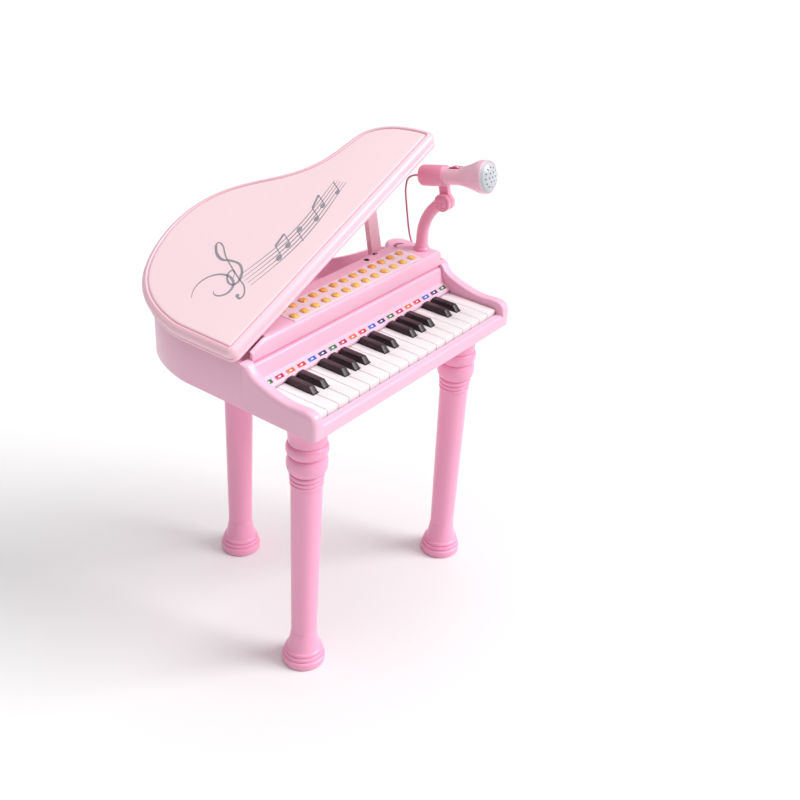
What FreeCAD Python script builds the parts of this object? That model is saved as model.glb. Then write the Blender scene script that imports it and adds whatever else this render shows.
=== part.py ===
# Toy electronic keyboard shaped like a grand piano, on three legs, with a microphone on an arm.
# Millimetres, +Z up, +X along the keyboard to the player's right, +Y away from the player.
# The piece frame has X = 0 in the middle of the keyboard, Y = 0 at the front of the keys and
# Z = 0 on the floor; every Placement then adds the shift that centres the whole object.
import FreeCAD
import Part
import math
import os
from FreeCAD import Placement, Rotation, Vector

doc = FreeCAD.newDocument("ToyPiano")

# ---------------------------------------------------------------- driving dimensions
sheet = doc.addObject("Spreadsheet::Sheet", "Dimensions")
DIMENSIONS = [
    ("key_pitch", 20), ("white_keys", 19), ("key_gap", 0.8), ("key_thick", 12),
    ("key_length", 118), ("key_top_level", 414), ("black_width", 10.4), ("black_slot", 12),
    ("black_front", 35), ("black_rise", 7.6), ("black_back", 76.5), ("pivot_back", 112),
    ("pivot_level", 408), ("pivot_bore_radius", 1.55), ("pivot_rod_radius", 1.5),
    ("half_width", 208.5), ("front_edge", 12), ("base_level", 390), ("rim_level", 452),
    ("deck_level", 472), ("wall", 3), ("cheek_inner", 191.5), ("deck_left", 165),
    ("deck_front", 98), ("deck_rear", 164), ("tray_level", 424), ("lid_thick", 19.6),
    ("lid_wall", 4), ("lid_skin", 3), ("lid_open", 24.4), ("hinge_offset", 200),
    ("hinge_level", 451), ("lid_above_hinge", 7), ("hinge_pin_radius", 1.5),
    ("prop_length", 165.9), ("prop_width", 22), ("prop_thick", 8), ("prop_lean", 14),
    ("prop_offset", 140), ("prop_level", 440), ("prop_pin_radius", 2),
    ("leg_offset", 160.6), ("leg_front", 37.5), ("rear_leg_offset", -37), ("rear_leg_back", 271.6),
    ("leg_top_level", 351), ("leg_bore_radius", 13.5), ("foot_level", 56), ("foot_radius", 29),
    ("socket_radius", 17.6), ("arm_offset", 176), ("arm_back", 121), ("arm_radius", 8),
    ("knob_back", 88.6), ("knob_level", 550.4), ("mic_back", 126.5), ("mic_level", 578.5),
    ("mic_tilt", 13.3), ("mic_radius", 12), ("bell_radius", 22), ("mic_length", 108),
    ("cord_diameter", 2.6), ("button_pitch", 20.2), ("button_radius", 5.8), ("button_travel", 1.5),
    ("shift_right", 5.2), ("shift_back", -161.5),
]
for row, (alias, value) in enumerate(DIMENSIONS, 1):
    sheet.set("A%d" % row, alias)
    sheet.set("B%d" % row, str(value))
    sheet.setAlias("B%d" % row, alias)
doc.recompute()


def dim(alias):
    return float(sheet.get(alias))


SHIFT = Vector(dim("shift_right"), dim("shift_back"), 0)
PARTS = []


def place(obj, label, base=Vector(0, 0, 0), rotation=Rotation(), centre=Vector(0, 0, 0)):
    """Give a sub-part its Label and its Placement in the shared frame."""
    obj.Label = label
    turn = Placement(Vector(), rotation, centre)
    obj.Placement = Placement(SHIFT + base, Rotation()) * turn * obj.Placement
    PARTS.append(obj)
    return obj


def feature(label, shape, rotation=Rotation(), centre=Vector(0, 0, 0)):
    """A sub-part whose Shape is worked out with Part's own functions."""
    obj = doc.addObject("Part::Feature", label)
    obj.Shape = shape
    return place(obj, label, rotation=rotation, centre=centre)


def box(x0, x1, y0, y1, z0, z1):
    return Part.makeBox(x1 - x0, y1 - y0, z1 - z0, Vector(x0, y0, z0))


def rod(start, end, radius):
    axis = end - start
    return Part.makeCylinder(radius, axis.Length, start, axis)


def prism_x(profile, x0, x1):
    """Extrude a closed (y, z) outline along X."""
    points = [Vector(x0, y, z) for y, z in profile]
    face = Part.Face(Part.makePolygon(points + points[:1]))
    return face.extrude(Vector(x1 - x0, 0, 0))


def fuse(shapes):
    return shapes[0].multiFuse(shapes[1:]).removeSplitter()


# ---------------------------------------------------------------- sketch helpers
def plane_of(body, role):
    return next(f for f in body.Origin.OriginFeatures if f.Role == role)


def sketch_on(body, role, name):
    sketch = body.newObject("Sketcher::SketchObject", name)
    sketch.AttachmentSupport = [(plane_of(body, role), "")]
    sketch.MapMode = "FlatFace"
    return sketch


def closed_polygon(sketch, points):
    corners = [Vector(x, y, 0) for x, y in points]
    for a, b in zip(corners, corners[1:] + corners[:1]):
        sketch.addGeometry(Part.LineSegment(a, b))


# ---------------------------------------------------------------- keys
PITCH = dim("key_pitch")
WHITE = int(dim("white_keys"))
SLOT = dim("black_slot") / 2
GAP = dim("key_gap") / 2
# The keyboard starts on B, so black keys stand on these joints between white keys.
BLACK_JOINTS = [2, 3, 5, 6, 7, 9, 10, 12, 13, 14, 16, 17]


def joint_x(number):
    return (number - WHITE / 2) * PITCH


def pivot_bore(body, name):
    """Bore the hole for the key rod right through the body, along X."""
    sketch = sketch_on(body, "YZ_Plane", name + "_bore_sketch")
    level = dim("pivot_level") - dim("key_top_level") + dim("key_thick")
    centre = Vector(dim("pivot_back"), level, 0)
    sketch.addGeometry(Part.Circle(centre, Vector(0, 0, 1), dim("pivot_bore_radius")))
    bore = body.newObject("PartDesign::Pocket", name + "_bore")
    bore.Profile = sketch
    bore.Midplane = True
    bore.setExpression("Length", "Dimensions.key_pitch * 2")
    return bore


def white_key(number):
    """One white key, narrowed behind the black keys that stand beside it."""
    name = "white_key_%02d" % number
    body = doc.addObject("PartDesign::Body", name)
    half = PITCH / 2 - GAP
    left = PITCH / 2 - SLOT if number - 1 in BLACK_JOINTS else half
    right = PITCH / 2 - SLOT if number in BLACK_JOINTS else half
    notch = dim("black_front") - 1
    back = dim("key_length")
    outline = [(-half, 0), (half, 0), (half, notch), (right, notch), (right, back),
               (-left, back), (-left, notch), (-half, notch)]
    outline = [p for i, p in enumerate(outline) if p != outline[i - 1] and
               not (i in (2, 3) and right == half) and not (i in (6, 7) and left == half)]
    sketch = sketch_on(body, "XY_Plane", name + "_sketch")
    closed_polygon(sketch, outline)
    pad = body.newObject("PartDesign::Pad", name + "_pad")
    pad.Profile = sketch
    pad.setExpression("Length", "Dimensions.key_thick")
    pivot_bore(body, name)
    level = dim("key_top_level") - dim("key_thick")
    return place(body, name, Vector(joint_x(number - 0.5), 0, level))


def black_key(number):
    """One black key: a side profile with a raised, slope-fronted top."""
    name = "black_key_%02d" % number
    body = doc.addObject("PartDesign::Body", name)
    top = dim("key_thick")
    high = top + dim("black_rise")
    front = dim("black_front")
    outline = [(front, 0), (front, top), (front + 7, high), (dim("black_back"), high),
               (dim("black_back"), top - 1), (dim("key_length"), top - 1), (dim("key_length"), 0)]
    sketch = sketch_on(body, "YZ_Plane", name + "_sketch")
    closed_polygon(sketch, outline)
    pad = body.newObject("PartDesign::Pad", name + "_pad")
    pad.Profile = sketch
    pad.Midplane = True
    pad.setExpression("Length", "Dimensions.black_width")
    pivot_bore(body, name)
    level = dim("key_top_level") - dim("key_thick")
    return place(body, name, Vector(joint_x(BLACK_JOINTS[number - 1]), 0, level))


for key in range(1, WHITE + 1):
    white_key(key)
for key in range(1, len(BLACK_JOINTS) + 1):
    black_key(key)

# ---------------------------------------------------------------- body outline
# The bent side and the tail of a grand piano, from the straight left side round to the right.
TAIL = [(-213, 192), (-208, 226), (-191, 269), (-165, 301), (-127, 323), (-83, 334), (-31, 331),
        (13, 310), (45, 279), (73, 247), (109, 222), (149, 211), (181, 202), (202, 180),
        (213, 146), (215, 122)]


def tail_points(inset):
    """The tail's points moved inwards along their normals."""
    moved = []
    for i, (x, y) in enumerate(TAIL):
        x0, y0 = TAIL[max(i - 1, 0)]
        x1, y1 = TAIL[min(i + 1, len(TAIL) - 1)]
        if i in (0, len(TAIL) - 1):
            x0, x1 = 0, 0
        run = math.hypot(x1 - x0, y1 - y0)
        moved.append(Vector(x + inset * (y1 - y0) / run, y - inset * (x1 - x0) / run, 0))
    return moved


def plan_face(inset, front, corner, level):
    """Flat face inside the tail and a straight front edge with round front corners."""
    tail = tail_points(inset)
    spline = Part.BSplineCurve()
    spline.interpolate(Points=tail, InitialTangent=Vector(0, 1, 0), FinalTangent=Vector(0, -1, 0))
    left, right = tail[0].x, tail[-1].x
    r = corner
    k = r * (1 - math.sqrt(0.5))
    edges = [spline.toShape(), Part.makeLine(tail[-1], Vector(right, front + r, 0))]
    edges.append(Part.Arc(Vector(right, front + r, 0), Vector(right - k, front + k, 0),
                          Vector(right - r, front, 0)).toShape())
    edges.append(Part.makeLine(Vector(right - r, front, 0), Vector(left + r, front, 0)))
    edges.append(Part.Arc(Vector(left + r, front, 0), Vector(left + k, front + k, 0),
                          Vector(left, front + r, 0)).toShape())
    edges.append(Part.makeLine(Vector(left, front + r, 0), tail[0]))
    face = Part.Face(Part.Wire(edges))
    face.translate(Vector(0, 0, level))
    return face


BODY_INSET = 5.5
WALL = dim("wall")
BASE = dim("base_level")
RIM = dim("rim_level")
DECK = dim("deck_level")
TRAY = dim("tray_level")
HALF = dim("half_width")
CHEEK = dim("cheek_inner")
FASCIA_BACK = dim("deck_front") + 4.5


def solid_plan(inset, front, corner, low, high):
    return plan_face(inset, front, corner, low).extrude(Vector(0, 0, high - low))


# ---------------------------------------------------------------- upper case
def ring_wall():
    """The outer wall of the body behind the keyboard."""
    outer = solid_plan(BODY_INSET, FASCIA_BACK, 0.5, BASE, RIM)
    inner = solid_plan(BODY_INSET + WALL, FASCIA_BACK + WALL, 0.5, BASE - 1, RIM + 1)
    slot = box(-CHEEK, CHEEK, FASCIA_BACK - 1, FASCIA_BACK + WALL + 1, BASE - 1, RIM + 1)
    return outer.cut(inner).cut(slot)


def cheek(side):
    """The end block beside the keys, with its swept top line."""
    front = -dim("front_edge")
    sweep = Part.BSplineCurve()
    sweep.interpolate([Vector(0, y, z) for y, z in ((front, 411), (-7, 421), (4, 424), (24, 423),
                                                    (50, 426.5), (70, 433), (85, 441), (91, 449),
                                                    (98, 452.6), (FASCIA_BACK, 453))])
    corners = [(FASCIA_BACK, 453), (FASCIA_BACK, BASE), (front, BASE), (front, 411)]
    lines = [Part.makeLine(Vector(0, *a), Vector(0, *b)) for a, b in zip(corners, corners[1:])]
    face = Part.Face(Part.Wire([sweep.toShape()] + lines))
    outer = HALF + side
    block = face.extrude(Vector(outer - CHEEK, 0, 0))
    block.translate(Vector(CHEEK if side > 0 else -outer, 0, 0))
    return block


def fascia():
    """Label strip, raised board behind the keys, groove and deck front, as one bent wall."""
    front = dim("deck_front")
    key_top = dim("key_top_level")
    outline = [(78, key_top + 1), (78, key_top + 5), (89, 428), (96, 446), (front + 2, 446),
               (front + 2, 450), (front, 450), (front, DECK - 3), (front + 3, DECK),
               (FASCIA_BACK, DECK), (FASCIA_BACK, 444), (98.5, 443), (92, 425.5),
               (81, key_top + 2.5), (81, key_top + 1)]
    return prism_x(outline, -CHEEK, CHEEK)


def key_slip():
    """The rail in front of the keys."""
    front = -dim("front_edge")
    top = dim("key_top_level") - 6.6
    return prism_x([(front, BASE), (front, top - 4), (front + 4, top), (-1, top), (-1, BASE)],
                   -CHEEK, CHEEK)


def deck():
    """Hollow raised deck that carries the buttons, with its step at the right rear."""
    left, right = -dim("deck_left"), CHEEK
    front, rear = FASCIA_BACK, dim("deck_rear")
    x, y = LOBE.x, LOBE.y
    block = fuse([box(left, right, front, rear, TRAY, DECK),
                  rod(Vector(x, y, TRAY), Vector(x, y, DECK), LOBE_RADIUS)])
    block = block.cut(box(right - 8, right + 1, y, y + 30, TRAY - 1, DECK + 1).cut(
        rod(Vector(x, y, TRAY - 2), Vector(x, y, DECK + 2), LOBE_RADIUS)))
    hollow = fuse([box(left + WALL, right - WALL, front - 1, min(rear, y) - WALL, TRAY - 1, DECK - WALL),
                   box(left + WALL, x, front, rear - WALL, TRAY - 1, DECK - WALL),
                   rod(Vector(x, y, TRAY - 1), Vector(x, y, DECK - WALL), LOBE_RADIUS - WALL)])
    low, high = RIM - 6, RIM - 3
    shoulders = [box(-HALF + 2, left + 1, front, rear, low, high),
                 box(-HALF + 2, left + 1, rear - WALL, rear, TRAY - 2, high),
                 box(right - 1, HALF - 2, front, STEP_REAR, low, high),
                 box(right - 1, HALF - 9, STEP_REAR - WALL, STEP_REAR, TRAY - 2, high)]
    outside = solid_plan(BODY_INSET + 1, FASCIA_BACK, 0.5, BASE, DECK)
    return block.cut(hollow).multiFuse([s.common(outside) for s in shoulders])


# The deck's right-hand end has a round lobe that reaches further back than the rest.
LOBE, LOBE_RADIUS, STEP_REAR = Vector(171.5, 157, 0), 20, 176
HINGE_MIDDLES = (125, 178)


def hinge_ears():
    """Pairs of ears inside the left wall that hold the lid's hinge pins."""
    x, z = -dim("hinge_offset"), dim("hinge_level")
    ears = []
    for middle in HINGE_MIDDLES:
        for y in (middle - 11, middle + 6):
            ears.append(box(x - 6, x + 4, y, y + 5, z - 14, z + 3))
    return ears


def prop_ear():
    x, y = dim("prop_offset"), dim("deck_rear") + dim("prop_thick") + 4
    return box(x - 7, x + 7, y, y + 4, TRAY - 1, dim("prop_level") + 7)


SCREW_PLACES = [(-182, 150), (186, 150), (-150, 230), (45, 255)]


# Where the microphone's cord enters the right-hand wall.
GLAND = Vector(209.6, 140, 424)


def upper_case():
    floor = solid_plan(BODY_INSET + 1, FASCIA_BACK, 0.5, TRAY - WALL, TRAY)
    floor = floor.cut(box(-230, 230, 0, dim("deck_rear") - WALL, BASE, DECK))
    bosses = [rod(Vector(x, y, BASE + 3.4), Vector(x, y, TRAY - 1 if y > 170 else RIM - 5), 4)
              for x, y in SCREW_PLACES]
    shape = fuse([ring_wall(), cheek(1), cheek(-1), fascia(), key_slip(), deck(), floor,
                  prop_ear()] + hinge_ears() + bosses)
    x, z = -dim("hinge_offset"), dim("hinge_level")
    pin = dim("prop_pin_radius")
    cuts = [rod(Vector(x, 110, z), Vector(x, 195, z), dim("hinge_pin_radius")),
            rod(Vector(dim("prop_offset"), 150, dim("prop_level")),
                Vector(dim("prop_offset"), 190, dim("prop_level")), pin),
            rod(Vector(dim("arm_offset"), dim("arm_back"), DECK - 8),
                Vector(dim("arm_offset"), dim("arm_back"), DECK + 1), 7.1),
            box(-112.3, 152.3, 101.7, 142.3, DECK - 1, DECK + 1),
            box(-110.5, 148.5, 105.5, 139.5, DECK - WALL - 1, DECK + 1),
            rod(Vector(93, 153, DECK - 5), Vector(93, 153, DECK + 1), 2.6),
            box(112.4, 121.6, 155.4, 158.6, DECK - 5, DECK + 1),
            rod(Vector(164, 150, DECK - 1.5), Vector(164, 150, DECK + 1), 9).cut(
                rod(Vector(164, 145, DECK - 2), Vector(164, 145, DECK + 2), 9)),
            rod(GLAND + Vector(-20, 0, 0), GLAND + Vector(5, 0, 0), 3),
            box(x - 4.4, x + 8, HINGE_MIDDLES[0] - 6, HINGE_MIDDLES[0] + 6, RIM - 7, RIM + 3),
            rod(Vector(-HALF + 3.2, dim("pivot_back"), dim("pivot_level")),
                Vector(HALF - 3.2, dim("pivot_back"), dim("pivot_level")), dim("pivot_rod_radius"))]
    for x, y in SCREW_PLACES:
        cuts.append(rod(Vector(x, y, BASE), Vector(x, y, BASE + 14), 1.35))
    return feature("upper_case", shape.cut(cuts[0].multiFuse(cuts[1:])))


# ---------------------------------------------------------------- lower case
def leg_places():
    side, front = dim("leg_offset"), dim("leg_front")
    return {"leg_front_left": (-side, front), "leg_front_right": (side, front),
            "leg_rear": (dim("rear_leg_offset"), dim("rear_leg_back"))}


def leg_socket(x, y):
    """Trumpet-shaped socket under the case that takes the top of a leg."""
    top, low = BASE, dim("leg_top_level")
    a, b = Vector(24.2, 0, low), Vector(34, 0, top)
    middle = Vector(25.5, 0, low + 0.62 * (top - low))
    bore = dim("socket_radius")
    lines = [Part.makeLine(b, Vector(0, 0, top)), Part.makeLine(Vector(0, 0, top), Vector(0, 0, top - 9)),
             Part.makeLine(Vector(0, 0, top - 9), Vector(bore, 0, top - 9)),
             Part.makeLine(Vector(bore, 0, top - 9), Vector(bore, 0, low)),
             Part.makeLine(Vector(bore, 0, low), a)]
    face = Part.Face(Part.Wire([Part.Arc(a, middle, b).toShape()] + lines))
    shape = face.revolve(Vector(), Vector(0, 0, 1), 360)
    shape.translate(Vector(x, y, 0))
    return shape


BATTERY = Vector(30, 190, 0)
SPEAKER = Vector(-95, 215, 0)


def lower_case():
    tail = solid_plan(BODY_INSET + WALL + 0.3, FASCIA_BACK - 6, 0.5, BASE, BASE + 3)
    front = box(-CHEEK + 0.3, CHEEK - 0.3, -0.7, FASCIA_BACK + 0.0, BASE, BASE + 3)
    cell = box(BATTERY.x - 38, BATTERY.x + 38, BATTERY.y - 32, BATTERY.y + 32, BASE, BASE + 22)
    sockets = [leg_socket(x, y) for x, y in leg_places().values()]
    posts = [rod(Vector(x, y, BASE + 2), Vector(x, y, BASE + 5), 3) for x in (-150, 0, 150)
             for y in (48, 68)]
    corners = [box(-230, 230, 0, FASCIA_BACK, 0, 500), box(-230, -CHEEK + 0.3, 0, FASCIA_BACK + 3.3, 0, 500),
               box(CHEEK - 0.3, 230, 0, FASCIA_BACK + 3.3, 0, 500)]
    shape = fuse([tail.cut(corners), front, cell] + sockets + posts)
    cuts = [box(BATTERY.x - 36, BATTERY.x + 36, BATTERY.y - 30, BATTERY.y + 30, BASE - 1, BASE + 20)]
    cuts += [rod(Vector(x, y, BASE - 1), Vector(x, y, BASE + 1.6), 3) for x, y in SCREW_PLACES]
    cuts += [rod(Vector(x, y, BASE - 1), Vector(x, y, BASE + 4), 1.35) for x, y in SCREW_PLACES]
    for ring in range(4):
        count = max(1, 6 * ring)
        for i in range(count):
            turn = 2 * math.pi * i / count
            at = SPEAKER + Vector(7 * ring * math.cos(turn), 7 * ring * math.sin(turn), BASE - 1)
            cuts.append(rod(at, at + Vector(0, 0, 5), 2))
    return feature("lower_case", shape.cut(cuts[0].multiFuse(cuts[1:])))


# ---------------------------------------------------------------- legs and feet
def revolve_sketch(body, name, points, arcs=()):
    """Revolve a closed (radius, height) outline about the body's Z axis.

    Each entry of arcs is the number of the outline's side that bulges, and by how much.
    """
    sketch = sketch_on(body, "XZ_Plane", name + "_sketch")
    bulge = dict(arcs)
    corners = [Vector(r, z, 0) for r, z in points]
    for i, (a, b) in enumerate(zip(corners, corners[1:] + corners[:1])):
        if i in bulge:
            side = (b - a).cross(Vector(0, 0, 1)).normalize()
            sketch.addGeometry(Part.Arc(a, (a + b) / 2 + side * bulge[i], b))
        else:
            sketch.addGeometry(Part.LineSegment(a, b))
    turned = body.newObject("PartDesign::Revolution", name + "_turned")
    turned.Profile = sketch
    turned.ReferenceAxis = (sketch, ["V_Axis"])
    turned.Angle = 360
    return turned


def leg(name, x, y):
    """Hollow tapered column with a beaded capital and a tenon on top."""
    body = doc.addObject("PartDesign::Body", name)
    bore, top, low = dim("leg_bore_radius"), dim("leg_top_level"), dim("foot_level")
    outline = [(bore, low), (17.2, low), (20.4, top - 62), (19.6, top - 57), (21.0, top - 53),
               (21.3, top - 48), (22.3, top - 45), (22.8, top - 40), (24.4, top - 37),
               (24.4, top - 24), (24.4, top - 18), (24.4, top - 2), (24.0, top),
               (17.5, top), (17.5, top + 28), (bore, top + 28)]
    revolve_sketch(body, name, outline, arcs=[(3, 0.8), (5, 0.8), (8, 2.2), (10, 2.4)])
    return place(body, name, Vector(x, y, 0))


def foot_shape(x, y):
    """Bell-shaped foot with a spigot that plugs into the leg."""
    top, r = dim("foot_level"), dim("foot_radius")
    bore = dim("leg_bore_radius") - 0.1
    outline = [(0, 0), (r - 1.2, 0), (r, 3), (r, 9), (r - 3.5, 14), (r - 4, 19), (r - 7, 23),
               (r - 7.6, 28), (r - 10.5, 33), (17.4, 46), (17.4, top), (bore, top), (bore, top + 18),
               (0, top + 18)]
    points = [Vector(a, 0, b) for a, b in outline]
    shape = Part.Face(Part.makePolygon(points + points[:1])).revolve(Vector(), Vector(0, 0, 1), 360)
    shape.translate(Vector(x, y, 0))
    return shape


# ---------------------------------------------------------------- lid and prop
HINGE = Vector(-dim("hinge_offset"), 0, dim("hinge_level"))
OPENED = Rotation(Vector(0, -1, 0), dim("lid_open"))
LID_FRONT = 104


def lid():
    """Hollow lid, built shut and then turned open about its hinge."""
    low = HINGE.z + dim("lid_above_hinge")
    thick, skin = dim("lid_thick"), dim("lid_skin")
    outer = solid_plan(0, LID_FRONT, 12, low, low + thick)
    inner = solid_plan(dim("lid_wall"), LID_FRONT + dim("lid_wall"), 8, low - 1, low + thick - skin)
    shape = outer.cut(inner)
    lugs = []
    for middle in HINGE_MIDDLES:
        barrel = rod(Vector(HINGE.x, middle - 5, HINGE.z), Vector(HINGE.x, middle + 5, HINGE.z), 3)
        web = box(HINGE.x - 1.5, HINGE.x + 3, middle - 5, middle + 5, HINGE.z, low + thick - 1)
        lugs += [barrel, web]
    shape = fuse([shape] + lugs)
    pad = box(95, 152, 160, 180, low + 9.1, low + thick - 1)
    shape = shape.fuse(pad)
    bore = rod(Vector(HINGE.x, 110, HINGE.z), Vector(HINGE.x, 200, HINGE.z),
               dim("hinge_pin_radius") + 0.05)
    return feature("lid", shape.cut(bore), OPENED, HINGE)


def prop():
    """Flat stay, hinged in the tray, whose round end stands under the lid."""
    pivot = Vector(dim("prop_offset"), 0, dim("prop_level"))
    length, half = dim("prop_length"), dim("prop_width") / 2
    y0 = dim("deck_rear") + 2
    y1 = y0 + dim("prop_thick")
    tip = half - 2
    edge = math.sqrt(length * length - tip * tip)
    a, b = Vector(-half, y0, 0), Vector(-tip, y0, edge)
    c, d = Vector(tip, y0, edge), Vector(half, y0, 0)
    edges = [Part.makeLine(a, b), Part.Arc(b, Vector(0, y0, length), c).toShape(),
             Part.makeLine(c, d), Part.Arc(d, Vector(0, y0, -half), a).toShape()]
    blade = Part.Face(Part.Wire(edges)).extrude(Vector(0, y1 - y0, 0))
    blade = blade.cut(rod(Vector(0, y0 - 1, 0), Vector(0, y1 + 1, 0), dim("prop_pin_radius") + 0.05))
    blade.translate(pivot)
    return feature("prop_stick", blade, Rotation(Vector(0, -1, 0), dim("prop_lean")), pivot)


# ---------------------------------------------------------------- microphone and arm
ARM_X = dim("arm_offset")
KNOB = Vector(ARM_X, dim("knob_back"), dim("knob_level"))
MIC = Vector(ARM_X, dim("mic_back"), dim("mic_level"))
TILT = math.radians(dim("mic_tilt"))
MIC_AXIS = Vector(0, -math.cos(TILT), math.sin(TILT))
# The microphone's own frame: Z along it towards the grille, Y up.
MIC_FRAME = Placement(MIC, Rotation(Vector(), Vector(0, math.sin(TILT), math.cos(TILT)), MIC_AXIS, "ZYX"))


def mic_arm():
    """Curved tube from the deck to the pivot, with a collar and a flat eye."""
    start = Vector(ARM_X, dim("arm_back"), DECK - 7)
    bend = Vector(ARM_X, dim("arm_back"), DECK + 21)
    reach, rise = bend.y - KNOB.y, KNOB.z - bend.z
    radius = (reach ** 2 + rise ** 2) / (2 * reach)
    half = math.asin(rise / radius) / 2
    middle = Vector(ARM_X, bend.y - radius * (1 - math.cos(half)), bend.z + radius * math.sin(half))
    path = Part.Wire([Part.makeLine(start, bend), Part.Arc(bend, middle, KNOB).toShape()])
    circle = Part.Wire(Part.makeCircle(dim("arm_radius"), start, Vector(0, 0, 1)))
    tube = path.makePipeShell([circle], True, False)
    spigot = rod(start, start + Vector(0, 0, 8), 7)
    tube = tube.cut(box(ARM_X - 12, ARM_X + 12, start.y - 12, start.y + 12, start.z - 1, DECK))
    collar = Part.makeCone(11.5, 9.2, 7, Vector(ARM_X, start.y, DECK))
    eye = rod(KNOB - Vector(8, 0, 0), KNOB - Vector(0.3, 0, 0), 12)
    room = rod(KNOB - Vector(0.3, 0, 0), KNOB + Vector(20, 0, 0), 14)
    shape = fuse([tube.cut(room), spigot, collar, eye])
    return feature("mic_arm", shape.cut(rod(KNOB - Vector(20, 0, 0), KNOB + Vector(20, 0, 0), 3.05)))


def mic_knob():
    """Ringed knob and bolt that clamp the holder to the arm."""
    head = Part.makeCylinder(8.5, 2.5, KNOB - Vector(10.5, 0, 0), Vector(1, 0, 0))
    ring = head.fuse(Part.makeCylinder(5.5, 1, KNOB - Vector(11.5, 0, 0), Vector(1, 0, 0)))
    bolt = rod(KNOB - Vector(9, 0, 0), KNOB + Vector(7.5, 0, 0), 3)
    return feature("mic_pivot_knob", fuse([ring, bolt]))


def along(distance):
    return MIC + MIC_AXIS * distance


def mic_holder():
    """Sleeve round the microphone, with a neck down to the pivot eye."""
    outer = rod(along(0), along(39), 14.2)
    eye = rod(KNOB + Vector(0.1, 0, 0), KNOB + Vector(7.5, 0, 0), 12)
    foot = along(30.4)
    neck = rod(KNOB + Vector(3.8, 0, 0), foot + Vector(3.8, 0, 0), 7.5)
    neck = neck.common(box(ARM_X + 0.1, ARM_X + 7.5, 0, 200, 0, 700))
    shape = fuse([outer, eye, neck])
    bore = rod(along(-1), along(40), dim("mic_radius") + 0.1)
    return feature("mic_holder", shape.cut(bore).cut(rod(KNOB, KNOB + Vector(20, 0, 0), 3.05)))


def turned_on_mic(outline):
    """Revolve a closed (radius, distance) outline about the microphone's axis."""
    points = [Vector(r, 0, z) for r, z in outline]
    shape = Part.Face(Part.makePolygon(points + points[:1])).revolve(Vector(), Vector(0, 0, 1), 360)
    shape.Placement = MIC_FRAME
    return shape


def mic_body():
    r, bell, long = dim("mic_radius"), dim("bell_radius"), dim("mic_length")
    outline = [(0, -7), (2.2, -7), (3.4, -5), (3.4, -1.5), (r - 3, -1.5), (r, 3), (r, 60),
               (r + 0.6, 67), (bell - 4, long - 22), (bell - 0.6, long - 15), (bell, long - 10),
               (bell, long - 5), (bell - 0.8, long - 2.4), (bell - 1.6, long - 2), (bell - 1.6, long - 8),
               (0, long - 8)]
    pocket = box(-4.6, 4.6, r - 1.6, r + 4, 49, 63)
    pocket.Placement = MIC_FRAME * pocket.Placement
    return feature("mic_body", turned_on_mic(outline).cut(pocket))


def mic_switch():
    """Slide switch on top of the microphone."""
    r = dim("mic_radius")
    knob = box(-3, 3, r - 1.5, r + 1.9, 52, 59)
    knob.Placement = MIC_FRAME * knob.Placement
    return feature("mic_switch", knob)


def mic_grille():
    """Domed, drilled grille plate."""
    long, r = dim("mic_length"), dim("bell_radius") - 1.7
    outline = [(0, long + 2.4), (r * 0.5, long + 1.2), (r - 1.6, long - 3.4), (r - 1.6, long - 7.9),
               (r, long - 7.9), (r, long - 2.6), (r * 0.86, long + 0.6), (r * 0.6, long + 3),
               (r * 0.3, long + 4.2), (0, long + 4.6)]
    shape = turned_on_mic(outline)
    holes = []
    for ring in range(3):
        count = max(1, 6 * ring)
        for i in range(count):
            turn = 2 * math.pi * i / count
            x, y = 6.4 * ring * math.cos(turn), 6.4 * ring * math.sin(turn)
            hole = Part.makeCylinder(1.25, 20, Vector(x, y, long - 12))
            hole.Placement = MIC_FRAME * hole.Placement
            holes.append(hole)
    return feature("mic_grille", shape.cut(holes[0].multiFuse(holes[1:])))


# ---------------------------------------------------------------- cord
# The free cord's route, from the microphone's tail to the grommet in the right-hand wall.
TAIL_END = along(-7)
CORD_ROUTE = [TAIL_END, Vector(176, 151.5, 572.6), Vector(179, 157, 550), Vector(188, 160.5, 528),
              Vector(198, 163.6, 500), Vector(208, 165.3, 468), Vector(223, 166, 444),
              Vector(235, 153.5, 429), Vector(229, 140, 424), Vector(212.4, 140, 424)]


def cord_tube():
    """Straight runs joined by arcs that are as large as the runs allow."""
    edges, start, length = [], CORD_ROUTE[0], 0
    for before, corner, after in zip(CORD_ROUTE, CORD_ROUTE[1:], CORD_ROUTE[2:]):
        one, two = corner - before, after - corner
        half = one.getAngle(two) / 2
        reach = 0.45 * min(one.Length, two.Length)
        radius = reach / math.tan(half)
        one.normalize()
        two.normalize()
        a, b = corner - one * reach, corner + two * reach
        inward = (two - one).normalize()
        middle = corner + inward * (radius / math.cos(half) - radius)
        edges.append(Part.makeLine(start, a))
        edges.append(Part.Arc(a, middle, b).toShape())
        print("cord bend radius %.1f mm" % radius)
        start = b
    edges.append(Part.makeLine(start, CORD_ROUTE[-1]))
    path = Part.Wire(edges)
    heading = CORD_ROUTE[1] - CORD_ROUTE[0]
    section = Part.Wire(Part.makeCircle(dim("cord_diameter") / 2, CORD_ROUTE[0], heading))
    tube = path.makePipeShell([section], True, False)
    print("cord length %.1f mm, volume ratio %.4f" % (
        path.Length, tube.Volume / (path.Length * math.pi * dim("cord_diameter") ** 2 / 4)))
    return feature("mic_cord", tube)


# ---------------------------------------------------------------- buttons, panel and small pieces
BUTTON_COLUMNS = 13
BUTTON_LEFT = -102.5


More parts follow.
